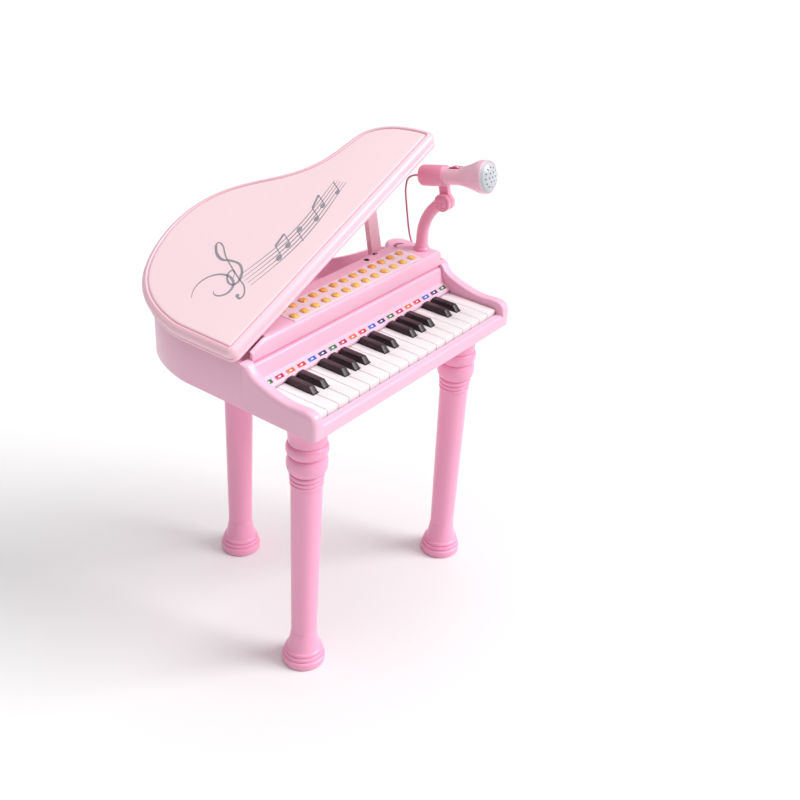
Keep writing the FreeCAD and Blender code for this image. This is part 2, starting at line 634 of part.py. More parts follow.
def button_row(label, y):
    """One moulded row of dome buttons on its web."""
    pitch, r = dim("button_pitch"), dim("button_radius")
    web = box(-108, 146, y - 2, y + 2, DECK - 3.8, DECK - 2.8)
    domes = []
    for i in range(BUTTON_COLUMNS):
        x = BUTTON_LEFT + i * pitch
        stem = rod(Vector(x, y, DECK - 3.8), Vector(x, y, DECK + 1.4), r)
        crown = Part.makeSphere(9.2, Vector(x, y, DECK + 3.4 - 9.2))
        domes.append(stem.fuse(crown.common(rod(Vector(x, y, DECK + 1), Vector(x, y, DECK + 4), r))))
    return feature(label, fuse([web] + domes))


def button_panel(rows):
    plate = box(-112, 152, 102, 142, DECK - 1, DECK + 0.6)
    holes = []
    for y in rows:
        for i in range(BUTTON_COLUMNS):
            x = BUTTON_LEFT + i * dim("button_pitch")
            holes.append(rod(Vector(x, y, DECK - 2), Vector(x, y, DECK + 2), dim("button_radius") + 0.3))
    return feature("button_panel", plate.cut(holes[0].multiFuse(holes[1:])))


BUTTON_ROWS = (112, 133)


def primitive(kind, label, base, rotation=Rotation(), **expressions):
    """A Part primitive whose sizes follow the sheet."""
    obj = doc.addObject(kind, label)
    for prop_name, expression in expressions.items():
        obj.setExpression(prop_name, expression)
    obj.Label = label
    obj.Placement = Placement(SHIFT + base, rotation)
    PARTS.append(obj)
    return obj


def small_pieces():
    """Pins, rod, board, feet, sound and power parts, screws and sockets."""
    feature("hinge_pins", Part.makeCompound(
        [rod(Vector(HINGE.x, m - 11, HINGE.z), Vector(HINGE.x, m + 11, HINGE.z),
             dim("hinge_pin_radius")) for m in HINGE_MIDDLES]))
    primitive("Part::Cylinder", "prop_pin",
              Vector(dim("prop_offset"), dim("deck_rear") - WALL, dim("prop_level")),
              Rotation(Vector(1, 0, 0), -90), Radius="Dimensions.prop_pin_radius",
              Height="Dimensions.prop_thick + 11")
    primitive("Part::Cylinder", "key_pivot_rod",
              Vector(-HALF + 3.2, dim("pivot_back"), dim("pivot_level")), Rotation(Vector(0, 1, 0), 90),
              Radius="Dimensions.pivot_rod_radius", Height="Dimensions.half_width * 2 - 6.4")
    primitive("Part::Box", "key_contact_board", Vector(-170, 42, BASE + 5),
              Length="340", Width="32", Height="1.6")
    feature("leg_feet", Part.makeCompound([foot_shape(x, y) for x, y in leg_places().values()]))
    feature("speaker", fuse([rod(SPEAKER + Vector(0, 0, BASE + 3), SPEAKER + Vector(0, 0, BASE + 6), 28),
                             Part.makeCone(26, 13, 12, SPEAKER + Vector(0, 0, BASE + 5)),
                             rod(SPEAKER + Vector(0, 0, BASE + 16), SPEAKER + Vector(0, 0, BASE + 24), 15)]))
    feature("battery_door", box(BATTERY.x - 35.8, BATTERY.x + 35.8, BATTERY.y - 29.8,
                                BATTERY.y + 29.8, BASE, BASE + 2.4))
    feature("batteries", Part.makeCompound(
        [rod(Vector(BATTERY.x - 25, BATTERY.y + row, BASE + 11), Vector(BATTERY.x + 25.5, BATTERY.y + row, BASE + 11), 7.2)
         for row in (-17, 0, 17)]))
    feature("case_screws", Part.makeCompound(
        [fuse([rod(Vector(x, y, BASE + 0.4), Vector(x, y, BASE + 1.6), 3),
               rod(Vector(x, y, BASE + 1), Vector(x, y, BASE + 12), 1.35)]) for x, y in SCREW_PLACES]))
    feature("aux_jack", fuse([rod(Vector(93, 153, DECK - 12), Vector(93, 153, DECK - 3), 4),
                              rod(Vector(93, 153, DECK - 4), Vector(93, 153, DECK - 0.4), 2.6)]).cut(
        rod(Vector(93, 153, DECK - 10), Vector(93, 153, DECK), 1.8)))
    feature("power_switch", fuse([box(112.8, 117.2, 155.7, 158.3, DECK - 4, DECK + 1.5),
                                  box(111, 119, 154, 160, DECK - 6, DECK - 3.3)]))
    gland = fuse([rod(GLAND + Vector(-8, 0, 0), GLAND, 3),
                  Part.makeCone(4.4, 3, 2.8, GLAND, Vector(1, 0, 0))])
    feature("cord_grommet", gland)


upper_case()
lower_case()
for name, (leg_x, leg_y) in leg_places().items():
    leg(name, leg_x, leg_y)
lid()
prop()
mic_arm()
mic_knob()
mic_holder()
mic_body()
mic_switch()
mic_grille()
cord_tube()
button_row("button_row_front", BUTTON_ROWS[0])
button_row("button_row_rear", BUTTON_ROWS[1])
button_panel(BUTTON_ROWS)
small_pieces()

# ---------------------------------------------------------------- checks and export
doc.recompute()
for obj in doc.Objects:
    if {"Invalid", "Error"} & set(obj.State):
        raise RuntimeError("%s failed: %s" % (obj.Name, obj.State))
os.makedirs("parts", exist_ok=True)
low, high = Vector(1e9, 1e9, 1e9), Vector(-1e9, -1e9, -1e9)
for obj in PARTS:
    if obj.Shape.isNull() or not obj.Shape.isValid():
        raise RuntimeError("%s has a bad shape" % obj.Label)
    obj.Shape.exportStep("parts/%s.step" % obj.Label)
    if obj.Label != "mic_cord":
        b = obj.Shape.BoundBox
        low = Vector(min(low.x, b.XMin), min(low.y, b.YMin), min(low.z, b.ZMin))
        high = Vector(max(high.x, b.XMax), max(high.y, b.YMax), max(high.z, b.ZMax))
print("%d sub-parts, box %s to %s" % (len(PARTS), low, high))
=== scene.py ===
import math
import bmesh
import bpy
import numpy as np
from mathutils import Matrix, Vector

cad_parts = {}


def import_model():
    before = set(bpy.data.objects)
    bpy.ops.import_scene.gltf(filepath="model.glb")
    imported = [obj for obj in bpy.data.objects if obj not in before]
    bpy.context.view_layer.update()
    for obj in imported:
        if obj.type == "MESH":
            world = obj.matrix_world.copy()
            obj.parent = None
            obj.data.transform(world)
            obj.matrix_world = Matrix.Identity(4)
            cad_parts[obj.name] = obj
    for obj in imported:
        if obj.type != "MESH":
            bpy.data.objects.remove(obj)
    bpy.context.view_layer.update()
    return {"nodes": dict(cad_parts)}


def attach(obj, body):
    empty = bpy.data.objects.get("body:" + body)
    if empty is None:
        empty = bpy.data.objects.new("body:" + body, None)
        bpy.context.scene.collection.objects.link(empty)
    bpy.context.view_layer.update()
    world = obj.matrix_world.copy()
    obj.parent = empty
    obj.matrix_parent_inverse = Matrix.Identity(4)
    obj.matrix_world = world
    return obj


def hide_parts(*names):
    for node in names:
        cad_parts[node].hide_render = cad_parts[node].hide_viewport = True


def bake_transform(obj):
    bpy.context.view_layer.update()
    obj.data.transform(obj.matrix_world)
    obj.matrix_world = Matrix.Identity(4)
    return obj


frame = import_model()

# Sizes are in millimetres in the piano's own frame: X = 0 in the middle of the keyboard,
# Y = 0 at the front of the keys, Z = 0 on the floor. MM and SHIFT turn them into the shared frame.
MM = 0.001
SHIFT = Vector((5.2, -161.5, 0.0))
# Heights of the case's underside, its rim, the deck, the tray under the lid and the white keys.
BASE, RIM, DECK, TRAY, KEY_TOP = 390.0, 452.0, 472.0, 424.0, 414.0
# X of the cheeks' inner faces, and Y of the back of the board behind the keys.
CHEEK = 191.5
FASCIA_BACK = 102.5
WHITE_KEYS, KEY_PITCH = 19, 20.0
BUTTONS, BUTTON_FIRST, BUTTON_PITCH = 13, -102.5, 20.2
HINGE_MIDDLES = (125, 178)
SCREW_PLACES = ((-182, 150), (186, 150), (-150, 230), (45, 255))


def world(x, y, z):
    """A point of the piano's own frame, in metres in the shared frame."""
    return (Vector((x, y, z)) + SHIFT) * MM


def key_x(number):
    """X of a white key's middle, numbered from 1 at the left; a half is the joint after a key."""
    return (number - (WHITE_KEYS + 1) / 2) * KEY_PITCH


# ---------------------------------------------------------------- materials
def plastic(name, color, rough=0.32, tone=0.008, grain=0.03, coat=0.25, subsurface=0.0, scale=1.0):
    """Moulded plastic: slow drifts of tone, fine mould texture, faint scuffs and a soft gloss."""
    mat = bpy.data.materials.new(name)
    mat.use_nodes = True
    nodes, links = mat.node_tree.nodes, mat.node_tree.links
    bsdf = nodes["Principled BSDF"]
    place = nodes.new("ShaderNodeTexCoord")
    drift = nodes.new("ShaderNodeTexNoise")
    drift.inputs["Scale"].default_value = 9.0 * scale
    drift.inputs["Detail"].default_value = 4.0
    links.new(place.outputs["Object"], drift.inputs["Vector"])
    ramp = nodes.new("ShaderNodeValToRGB")
    ramp.color_ramp.elements[0].position = 0.3
    ramp.color_ramp.elements[1].position = 0.7
    ramp.color_ramp.elements[0].color = [c * (1 - tone) for c in color] + [1]
    ramp.color_ramp.elements[1].color = [min(1.0, c * (1 + tone * 0.6)) for c in color] + [1]
    links.new(drift.outputs["Fac"], ramp.inputs["Fac"])
    links.new(ramp.outputs["Color"], bsdf.inputs["Base Color"])
    scuff = nodes.new("ShaderNodeTexNoise")
    scuff.inputs["Scale"].default_value = 45.0 * scale
    scuff.inputs["Detail"].default_value = 6.0
    links.new(place.outputs["Object"], scuff.inputs["Vector"])
    span = nodes.new("ShaderNodeMapRange")
    span.inputs["From Min"].default_value = 0.3
    span.inputs["From Max"].default_value = 0.7
    span.inputs["To Min"].default_value = rough * 0.96
    span.inputs["To Max"].default_value = rough * 1.05
    links.new(scuff.outputs["Fac"], span.inputs["Value"])
    links.new(span.outputs["Result"], bsdf.inputs["Roughness"])
    texture = nodes.new("ShaderNodeTexNoise")
    texture.inputs["Scale"].default_value = 1600.0
    texture.inputs["Detail"].default_value = 2.0
    links.new(place.outputs["Object"], texture.inputs["Vector"])
    bump = nodes.new("ShaderNodeBump")
    bump.inputs["Strength"].default_value = grain
    bump.inputs["Distance"].default_value = 0.0002
    links.new(texture.outputs["Fac"], bump.inputs["Height"])
    links.new(bump.outputs["Normal"], bsdf.inputs["Normal"])
    bsdf.inputs["Coat Weight"].default_value = coat
    bsdf.inputs["Coat Roughness"].default_value = 0.12
    if subsurface:
        bsdf.inputs["Subsurface Weight"].default_value = subsurface
        bsdf.inputs["Subsurface Radius"].default_value = (0.004, 0.002, 0.002)
    return mat


def linear(r, g, b):
    """A display colour, 0 to 255, as the linear colour that shaders take."""
    return [((c / 255 + 0.055) / 1.055) ** 2.4 if c > 10 else c / 255 / 12.92 for c in (r, g, b)]


def metal(name, color, rough):
    """Drawn or plated metal, with slight drifts of tone and roughness."""
    mat = plastic(name, color, rough, tone=0.05, grain=0.03, coat=0.0)
    mat.node_tree.nodes["Principled BSDF"].inputs["Metallic"].default_value = 1.0
    return mat


CASE = plastic("case_pink", linear(248, 191, 215), 0.34, coat=0.15, subsurface=0.05)
LID_FACE = plastic("lid_face_pink", linear(255, 224, 231), 0.55, tone=0.004, coat=0.0, subsurface=0.03)
LID_FACE.node_tree.nodes["Principled BSDF"].inputs["Specular IOR Level"].default_value = 0.3
LID_RIM = plastic("lid_rim_pink", linear(253, 206, 220), 0.34, coat=0.12, subsurface=0.05)
# Darker pink painted as shade in the recessed gap under the deck's front edge.
DECK_GAP_SHADE = plastic("deck_gap_shade_pink", linear(240, 150, 186), 0.4)
# Darker pink painted as shade along the bottom of the lid's groove.
LID_GROOVE_SHADE = plastic("lid_groove_shade_pink", linear(244, 190, 206), 0.35)
LEG = plastic("leg_pink", linear(254, 172, 206), 0.3, tone=0.004, coat=0.15, subsurface=0.05)
MIC_PINK = plastic("microphone_pink", linear(251, 168, 198), 0.3)
BELL_PINK = plastic("microphone_bell_pink", linear(255, 204, 222), 0.3)
WHITE = plastic("white_key_plastic", linear(238, 234, 235), 0.22, tone=0.015, coat=0.4)
BLACK = plastic("black_key_plastic", linear(44, 28, 33), 0.42, tone=0.2, coat=0.12)
PANEL = plastic("panel_pale", linear(243, 222, 234), 0.4)
LINE = plastic("printed_line", linear(252, 248, 250), 0.5)
YELLOW = plastic("button_yellow", linear(253, 206, 104), 0.3, subsurface=0.1, scale=26)
ORANGE = plastic("button_orange", linear(252, 192, 96), 0.3, subsurface=0.1, scale=26)
for button, shade in ((YELLOW, (240, 170, 82)), (ORANGE, (236, 150, 76))):
    ramp = button.node_tree.nodes["Color Ramp"].color_ramp
    ramp.elements[0].color = [*linear(*shade), 1]
    ramp.elements[0].position, ramp.elements[1].position = 0.38, 0.56
GREY = plastic("motif_grey", linear(152, 150, 157), 0.45, tone=0.06)
DARK = plastic("dark_plastic", linear(45, 38, 44), 0.55, tone=0.1)
# Dark reddish pink painted as shade inside the deck's crescent recess and the microphone's slide slot.
RECESS_SHADE = plastic("recess_shade_pink", linear(176, 62, 102), 0.5)
FOAM = plastic("grille_foam", linear(60, 60, 66), 0.9, tone=0.3, grain=0.8, coat=0.0, scale=60)
SILVER = plastic("grille_paint", linear(204, 206, 212), 0.35, tone=0.05)
CORD = plastic("cord_rubber", linear(196, 112, 140), 0.5, coat=0.0)
STEEL = metal("steel", linear(190, 190, 194), 0.3)
BOARD = plastic("circuit_board", linear(60, 110, 70), 0.5, tone=0.2, scale=6)
PAPER = plastic("speaker_paper", linear(42, 42, 46), 0.8, tone=0.2, grain=0.5, coat=0.0)
CELL = metal("cell_can", linear(160, 165, 172), 0.35)
LABELS = [plastic("label_%s" % n, linear(*c), 0.4) for n, c in (
    ("green", (34, 112, 62)), ("crimson", (186, 34, 84)), ("orange", (222, 104, 44)),
    ("red", (206, 50, 54)), ("blue", (40, 96, 190)), ("navy", (46, 36, 100)))]


# ---------------------------------------------------------------- mesh helpers
def piece(name, verts, faces, mat, body="case", angle=32, bevel=0.0, segments=2, mats=(), index=None):
    """A mesh from points in millimetres, smooth-shaded up to an angle, riding on a CAD body."""
    mesh = bpy.data.meshes.new(name)
    mesh.from_pydata([tuple(world(*v)) for v in verts], [], faces)
    mesh.validate()
    bm = bmesh.new()
    bm.from_mesh(mesh)
    bmesh.ops.remove_doubles(bm, verts=bm.verts, dist=1e-6)
    bmesh.ops.recalc_face_normals(bm, faces=bm.faces)
    bm.to_mesh(mesh)
    bm.free()
    obj = bpy.data.objects.new(name, mesh)
    bpy.context.scene.collection.objects.link(obj)
    mesh.materials.append(mat)
    for extra in mats:
        mesh.materials.append(extra)
    if index:
        for face in mesh.polygons:
            face.material_index = index(face)
    if bevel:
        soften(obj, bevel, segments)
    smooth(obj, angle)
    if body:
        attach(obj, body)
    return obj


def smooth(obj, angle=32):
    obj.data.shade_smooth()
    obj.data.set_sharp_from_angle(angle=math.radians(angle))


def apply_all(obj):
    """Turn the object's modifiers into plain mesh."""
    bpy.context.view_layer.update()
    graph = bpy.context.evaluated_depsgraph_get()
    made = bpy.data.meshes.new_from_object(obj.evaluated_get(graph))
    obj.modifiers.clear()
    obj.data = made


def soften(obj, width, segments=2, angle=30):
    mod = obj.modifiers.new("Bevel", "BEVEL")
    mod.width = width * MM
    mod.segments = segments
    mod.limit_method = "ANGLE"
    mod.angle_limit = math.radians(angle)
    apply_all(obj)


def cut(obj, cutters):
    """Take closed pieces away from a closed piece, and delete them."""
    for cutter in cutters:
        mod = obj.modifiers.new("Cut", "BOOLEAN")
        mod.operation = "DIFFERENCE"
        mod.solver = "EXACT"
        mod.object = cutter
    apply_all(obj)
    for cutter in cutters:
        bpy.data.objects.remove(cutter)
    return obj


def grid_faces(rings, count, closed=True, cap_start=False, cap_end=False):
    """Quads between rings of equal length, and flat caps on the first and last ring."""
    faces = []
    for r in range(rings - 1):
        for i in range(count if closed else count - 1):
            a, b = r * count + i, r * count + (i + 1) % count
            faces.append((a, b, b + count, a + count))
    if cap_start:
        faces.append(tuple(range(count)))
    if cap_end:
        faces.append(tuple(range((rings - 1) * count, rings * count)))
    return faces


def lathe(name, profile, mat, base=(0, 0, 0), axis=(0, 0, 1), body="case", steps=64, angle=32,
          closed=False):
    """Turn a (radius, height) line about an axis that starts at base."""
    turn = Vector((0, 0, 1)).rotation_difference(Vector(axis))
    base = Vector(base)
    verts = []
    for r, z in profile:
        for i in range(steps):
            a = 2 * math.pi * i / steps
            verts.append(base + turn @ Vector((r * math.cos(a), r * math.sin(a), z)))
    faces = grid_faces(len(profile), steps)
    if closed:
        last = (len(profile) - 1) * steps
        faces += [(last + i, last + (i + 1) % steps, (i + 1) % steps, i) for i in range(steps)]
    return piece(name, verts, faces, mat, body, angle)


def on_circle(cx, cy, r, degrees):
    """The point of a circle at an angle."""
    return (cx + r * math.cos(math.radians(degrees)), cy + r * math.sin(math.radians(degrees)))


def arc(cx, cz, r, start, end, steps=6):
    """Points on an arc, angles in degrees."""
    return [on_circle(cx, cz, r, start + (end - start) * i / steps) for i in range(steps + 1)]


def block(name, x0, x1, y0, y1, z0, z1, mat, body="case", bevel=0.0, segments=2):
    verts = [(x, y, z) for z in (z0, z1) for x, y in ((x0, y0), (x1, y0), (x1, y1), (x0, y1))]
    return piece(name, verts, grid_faces(2, 4, cap_start=True, cap_end=True), mat, body,
                 bevel=bevel, segments=segments)


def slab(name, outline, z0, z1, mat, body="case", bevel=0.0, segments=2, angle=32):
    """A closed (x, y) outline raised from z0 to z1."""
    verts = [(x, y, z) for z in (z0, z1) for x, y in outline]
    return piece(name, verts, grid_faces(2, len(outline), cap_start=True, cap_end=True), mat, body,
                 angle, bevel, segments)


def drum(name, x, y, z0, z1, r, mat, body="case", steps=32):
    outline = [(x + r * math.cos(2 * math.pi * i / steps), y + r * math.sin(2 * math.pi * i / steps))
               for i in range(steps)]
    return slab(name, outline, z0, z1, mat, body)


def tube(name, points, radius, mat, body="case", steps=24, caps=True):
    """A round tube along points, with one radius or one for each point."""
    points = [Vector(p) for p in points]
    radii = radius if isinstance(radius, (list, tuple)) else [radius] * len(points)
    verts, side = [], None
    for i, (p, r) in enumerate(zip(points, radii)):
        ahead = (points[min(i + 1, len(points) - 1)] - points[max(i - 1, 0)]).normalized()
        if side is None:
            side = ahead.orthogonal().normalized()
        side = (side - ahead * side.dot(ahead)).normalized()
        up = ahead.cross(side)
        for k in range(steps):
            turn = 2 * math.pi * k / steps
            verts.append(p + (side * math.cos(turn) + up * math.sin(turn)) * r)
    return piece(name, verts, grid_faces(len(points), steps, cap_start=caps, cap_end=caps), mat, body, 40)


def join(name, objs):
    """Join pieces into the first, which keeps its body."""
    with bpy.context.temp_override(active_object=objs[0], object=objs[0], selected_objects=objs,
                                   selected_editable_objects=objs):
        bpy.ops.object.join()
    objs[0].name = name
    objs[0].data.name = name
    return objs[0]


# ---------------------------------------------------------------- camera
camera = bpy.data.objects.new("camera", bpy.data.cameras.new("camera"))
bpy.context.scene.collection.objects.link(camera)
bpy.context.scene.camera = camera
camera.data.sensor_width = 36.0
camera.data.lens = 53.447
# Its right and forward directions, made square to each other, then turned a little to place the view.
right = Vector((0.5997, -0.7982, 0.0560)).normalized()
forward = Vector((0.7047, 0.4937, -0.5095))
forward = (forward - right * forward.dot(right)).normalized()
up = right.cross(forward)
forward = (forward - right * 0.0012 - up * 0.0006).normalized()
right = forward.cross(up).normalized()
up = right.cross(forward)
turn = Matrix((right, up, -forward)).transposed().to_4x4()
camera.matrix_world = Matrix.Translation(world(-1089.6, -748.3, 1135.3)) @ turn
camera.data.clip_start = 0.05
camera.data.clip_end = 50

# ---------------------------------------------------------------- cord
# The route's points are those of the CAD cord, from the microphone's tail to the grommet.
TILT = math.radians(13.3)
MIC = Vector((176, 126.5, 578.5))
MIC_AXIS = Vector((0, -math.cos(TILT), math.sin(TILT)))
TAIL = MIC - MIC_AXIS * 7
ROUTE = [tuple(TAIL), (176, 151.5, 572.6), (179, 157, 550), (188, 160.5, 528), (198, 163.6, 500),
         (208, 165.3, 468), (223, 166, 444), (235, 153.5, 429), (229, 140, 424), (212.4, 140, 424)]
CORD_DIAMETER = 2.6
curve = bpy.data.curves.new("cord_line", "CURVE")
curve.dimensions = "3D"
spline = curve.splines.new("NURBS")
spline.points.add(len(ROUTE) - 1)
for point, place in zip(spline.points, ROUTE):
    point.co = (*world(*place), 1.0)
spline.order_u = 3
spline.use_endpoint_u = True
spline.resolution_u = 12
cord_line = bpy.data.objects.new("cord_line", curve)
bpy.context.scene.collection.objects.link(cord_line)
bpy.context.view_layer.update()
line_mesh = bpy.data.meshes.new_from_object(cord_line.evaluated_get(bpy.context.evaluated_depsgraph_get()))
cord_path = [v.co.copy() for v in line_mesh.vertices]
bpy.data.objects.remove(cord_line)
cord = tube("microphone_cord", [p / MM - SHIFT for p in cord_path], CORD_DIAMETER / 2, CORD, None, 16)
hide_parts("mic_cord")
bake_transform(cord)


# ---------------------------------------------------------------- plan outlines
# The bent side, from the left wall round the tail to the right wall.
SIDE = [(-213, 192), (-208, 226), (-191, 269), (-165, 301), (-127, 323), (-83, 334), (-31, 331),
        (13, 310), (45, 279), (73, 247), (109, 222), (149, 211), (181, 202), (202, 180),
        (213, 146), (215, 122)]


def side_curve(steps=9):
    """Smooth curve through the bent side's points, square to the front at both ends."""
    pts = np.array(SIDE, float)
    gaps = np.linalg.norm(np.diff(pts, axis=0), axis=1)
    n = len(pts)
    system, known = np.zeros((n, n)), np.zeros((n, 2))
    system[0, 0] = system[-1, -1] = 1
    known[0], known[-1] = (0, 1), (0, -1)
    for i in range(1, n - 1):
        system[i, i - 1], system[i, i], system[i, i + 1] = gaps[i], 2 * (gaps[i - 1] + gaps[i]), gaps[i - 1]
        known[i] = 3 * ((pts[i] - pts[i - 1]) / gaps[i - 1] * gaps[i]
                        + (pts[i + 1] - pts[i]) / gaps[i] * gaps[i - 1])
    slope = np.linalg.solve(system, known)
    out = []
    for i in range(n - 1):
        for k in range(steps):
            s = k / steps
            h = gaps[i]
            out.append((2 * s**3 - 3 * s**2 + 1) * pts[i] + (s**3 - 2 * s**2 + s) * h * slope[i]
                       + (-2 * s**3 + 3 * s**2) * pts[i + 1] + (s**3 - s**2) * h * slope[i + 1])
    out.append(pts[-1])
    return out


def plan(front, corner, inset):
    """Closed outline of the piano's plan: tail, right side, round front corners, left side."""
    curve_pts = side_curve()
    left, right_x = curve_pts[0][0] + inset, curve_pts[-1][0] - inset
    pts = []
    for i, p in enumerate(curve_pts):
        a, b = curve_pts[max(i - 1, 0)], curve_pts[min(i + 1, len(curve_pts) - 1)]
        d = (b - a) / np.linalg.norm(b - a)
        if i in (0, len(curve_pts) - 1):
            d = np.array([0.0, 1.0 if i == 0 else -1.0])
        pts.append((p[0] + inset * d[1], p[1] - inset * d[0]))
    r = corner
    if r > 0.01:
        pts += arc(right_x - r, front + r, r, 0, -90, 8)
        pts += arc(left + r, front + r, r, -90, -180, 8)
    else:
        pts += [(right_x, front)] * 9 + [(left, front)] * 9
    return pts


def stack(front, corner, rings, cap_start=False, cap_end=False):
    """Rings of the plan outline, each (inset, height), joined into a skin."""
    verts, count = [], 0
    for inset, z in rings:
        pts = plan(front + inset, max(corner - inset, 0.0), inset)
        count = len(pts)
        verts += [(x, y, z) for x, y in pts]
    faces = grid_faces(len(rings), count, cap_start=cap_start, cap_end=cap_end)
    return verts, faces


# ---------------------------------------------------------------- lid
HINGE = Vector((-200, 0, 451))
OPENED = Matrix.Rotation(math.radians(24.4), 4, Vector((0, -1, 0)))
LOW, THICK = 458.0, 19.6
TOP = LOW + THICK


def opened(verts):
    """Turn closed-lid points to where the open lid is."""
    return [HINGE + OPENED.to_3x3() @ (Vector(v) - HINGE) for v in verts]


# Rings of the lid's section, each (inset, height): under side, lower bead, upper crest, groove, face.
LID_RINGS = [(6.0, LOW + 16.6), (4.8, LOW + 16.4), (4.0, LOW + 15.6), (4.0, LOW + 0.6), (3.6, LOW),
             (1.8, LOW), (1.0, LOW + 0.5), (0.6, LOW + 1.6), (0.6, LOW + 3.4), (1.0, LOW + 4.5),
             (2.1, LOW + 5.2), (2.4, LOW + 5.9), (2.0, LOW + 6.5), (1.0, LOW + 6.9)]
LID_RINGS += [(8.0 - a, b) for a, b in arc(0, TOP - 8.3, 8.0, 12, 78, 10)]
LID_RINGS += [(7.3, TOP - 0.1), (8.1, TOP - 0.4), (8.7, TOP - 1.1), (9.0, TOP - 1.7), (9.5, TOP - 1.9),
              (10.0, TOP - 1.7), (10.3, TOP - 1.1), (11.0, TOP - 0.4), (12.2, TOP - 0.1), (14.0, TOP)]
verts, faces = stack(104, 12, LID_RINGS, cap_start=True, cap_end=True)
ring_count = len(verts) // len(LID_RINGS)
GROOVE_FROM, GROOVE_TO = len(LID_RINGS) - 8, len(LID_RINGS) - 4


def lid_zone(face):
    """0 for the rim, 1 for the bottom of the groove, painted a darker pink as shade, 2 for the face."""
    bands = [v // ring_count for v in face.vertices]
    if len(face.vertices) > 4:
        return 2 if bands[0] else 0
    if min(bands) >= GROOVE_TO:
        return 2
    return 1 if min(bands) >= GROOVE_FROM else 0


# The groove's bottom band takes painted shade, a darker pink than the rim.
lid_shell = piece("lid_shell", opened(verts), faces, LID_RIM, "lid_body", 40,
                  mats=(LID_GROOVE_SHADE, LID_FACE), index=lid_zone)
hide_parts("lid")


def lid_block(name, x0, x1, y0, y1, z0, z1, bevel):
    obj = block(name, x0, x1, y0, y1, z0, z1, LID_RIM, None, bevel)
    obj.data.transform(Matrix.Translation(world(*HINGE)) @ OPENED @ Matrix.Translation(-world(*HINGE)))
    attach(obj, "lid_body")
    return obj


lid_block("lid_prop_pad", 95, 152, 160, 180, LOW + 9.1, LOW + 17.5, 1.0)
for number, y in enumerate(HINGE_MIDDLES, 1):
    lid_block("lid_lug_web_%d" % number, -201.5, -197, y - 5, y + 5, 451.5, LOW + 17.2, 0.8)
    lug_profile = [(1.55, -5), (2.7, -5), (3.0, -4.7), (3.0, 4.7), (2.7, 5), (1.55, 5)]
    lug = lathe("lid_lug_%d" % number, lug_profile, LID_RIM, (HINGE.x, y, HINGE.z), (0, 1, 0), "lid_body",
                32, closed=True)

# ---------------------------------------------------------------- generic printed motif on the lid
def lid_ribbon(name, pts, widths):
    """A thin printed stroke on the lid's face."""
    verts = []
    for i, (x, y) in enumerate(pts):
        a, b = pts[max(i - 1, 0)], pts[min(i + 1, len(pts) - 1)]
        d = Vector((b[0] - a[0], b[1] - a[1])).normalized()
        w = widths[i] / 2
        for z in (TOP - 0.05, TOP + 0.12):
            for s in (1, -1):
                verts.append((x - d.y * w * s, y + d.x * w * s, z))
    faces = []
    for i in range(len(pts) - 1):
        p, q = i * 4, i * 4 + 4
        faces += [(p, p + 1, q + 1, q), (p + 2, q + 2, q + 3, p + 3), (p, q, q + 2, p + 2),
                  (p + 1, p + 3, q + 3, q + 1)]
    faces += [(0, 2, 3, 1), tuple(len(verts) - 4 + k for k in (0, 1, 3, 2))]
    return piece(name, opened(verts), faces, GREY, "lid_body", 30)


def staff_point(t, lane):
    """A point of the waving staff: t runs along it, lane across it from -2 to 2."""
    x = -112 + 196 * t
    y = 168 - 10 * math.sin(3.6 * t) - 6 * t
    slope = -36 * math.cos(3.6 * t) / 198
    spread = 6.4 - 2.2 * t
    n = Vector((-slope, 1)).normalized()
    return (x + n.x * lane * spread, y + n.y * lane * spread)


motif = []
for lane in range(-2, 3):
    pts = [staff_point(i / 40, lane) for i in range(41)]
    widths = [0.7 + 0.9 * math.sin(math.pi * i / 40) for i in range(41)]
    motif.append(lid_ribbon("staff_%d" % (lane + 3), pts, widths))


def note(name, t, lane, size, stem_up=True):
    """An oval note head with its stem."""
    cx, cy = staff_point(t, lane)
    spin = math.radians(25)
    head = []
    for i in range(24):
        a = 2 * math.pi * i / 24
        u, v = size * math.cos(a), size * 0.7 * math.sin(a)
        head.append((cx + u * math.cos(spin) - v * math.sin(spin),
                     cy + u * math.sin(spin) + v * math.cos(spin)))
    verts = [(x, y, z) for z in (TOP - 0.05, TOP + 0.16) for x, y in head]
    made = [piece(name, opened(verts), grid_faces(2, 24, cap_start=True, cap_end=True), GREY, "lid_body")]
    side = 1 if stem_up else -1
    foot = (cx + side * size * 0.88, cy + side * size * 0.2)
    tip = (foot[0] + side * 10, foot[1] + side * 17)
    made.append(lid_ribbon(name + "_stem", [foot, tip], [1.3, 1.3]))
    return made, tip


# Each note: place along the staff, place across it, whether its stem points up.
NOTES = [(0.26, -1, True), (0.37, 0, True), (0.52, 1, False),
         (0.64, -1, True), (0.76, 0, True), (0.90, -1.5, True)]
tips = []
for k, (t, lane, stem_up) in enumerate(NOTES):
    made, tip = note("note_%d" % (k + 1), t, lane, 5.8 - 1.6 * t, stem_up)
    motif += made
    tips.append(tip)
motif.append(lid_ribbon("beam_1", [tips[0], tips[1]], [3.2, 3.2]))
motif.append(lid_ribbon("beam_2", [tips[3], tips[4]], [2.8, 2.8]))


def swirl(cx, cy, r0, r1, a0, a1, steps=44):
    """Part of a spiral."""
    return [on_circle(cx, cy, r0 + (r1 - r0) * f, a0 + (a1 - a0) * f)
            for f in (i / steps for i in range(steps + 1))]


def taper(count, thick, thin=0.7):
    """Stroke widths that swell from thin to thick and back."""
    return [thin + (thick - thin) * math.sin(math.pi * i / (count - 1)) for i in range(count)]


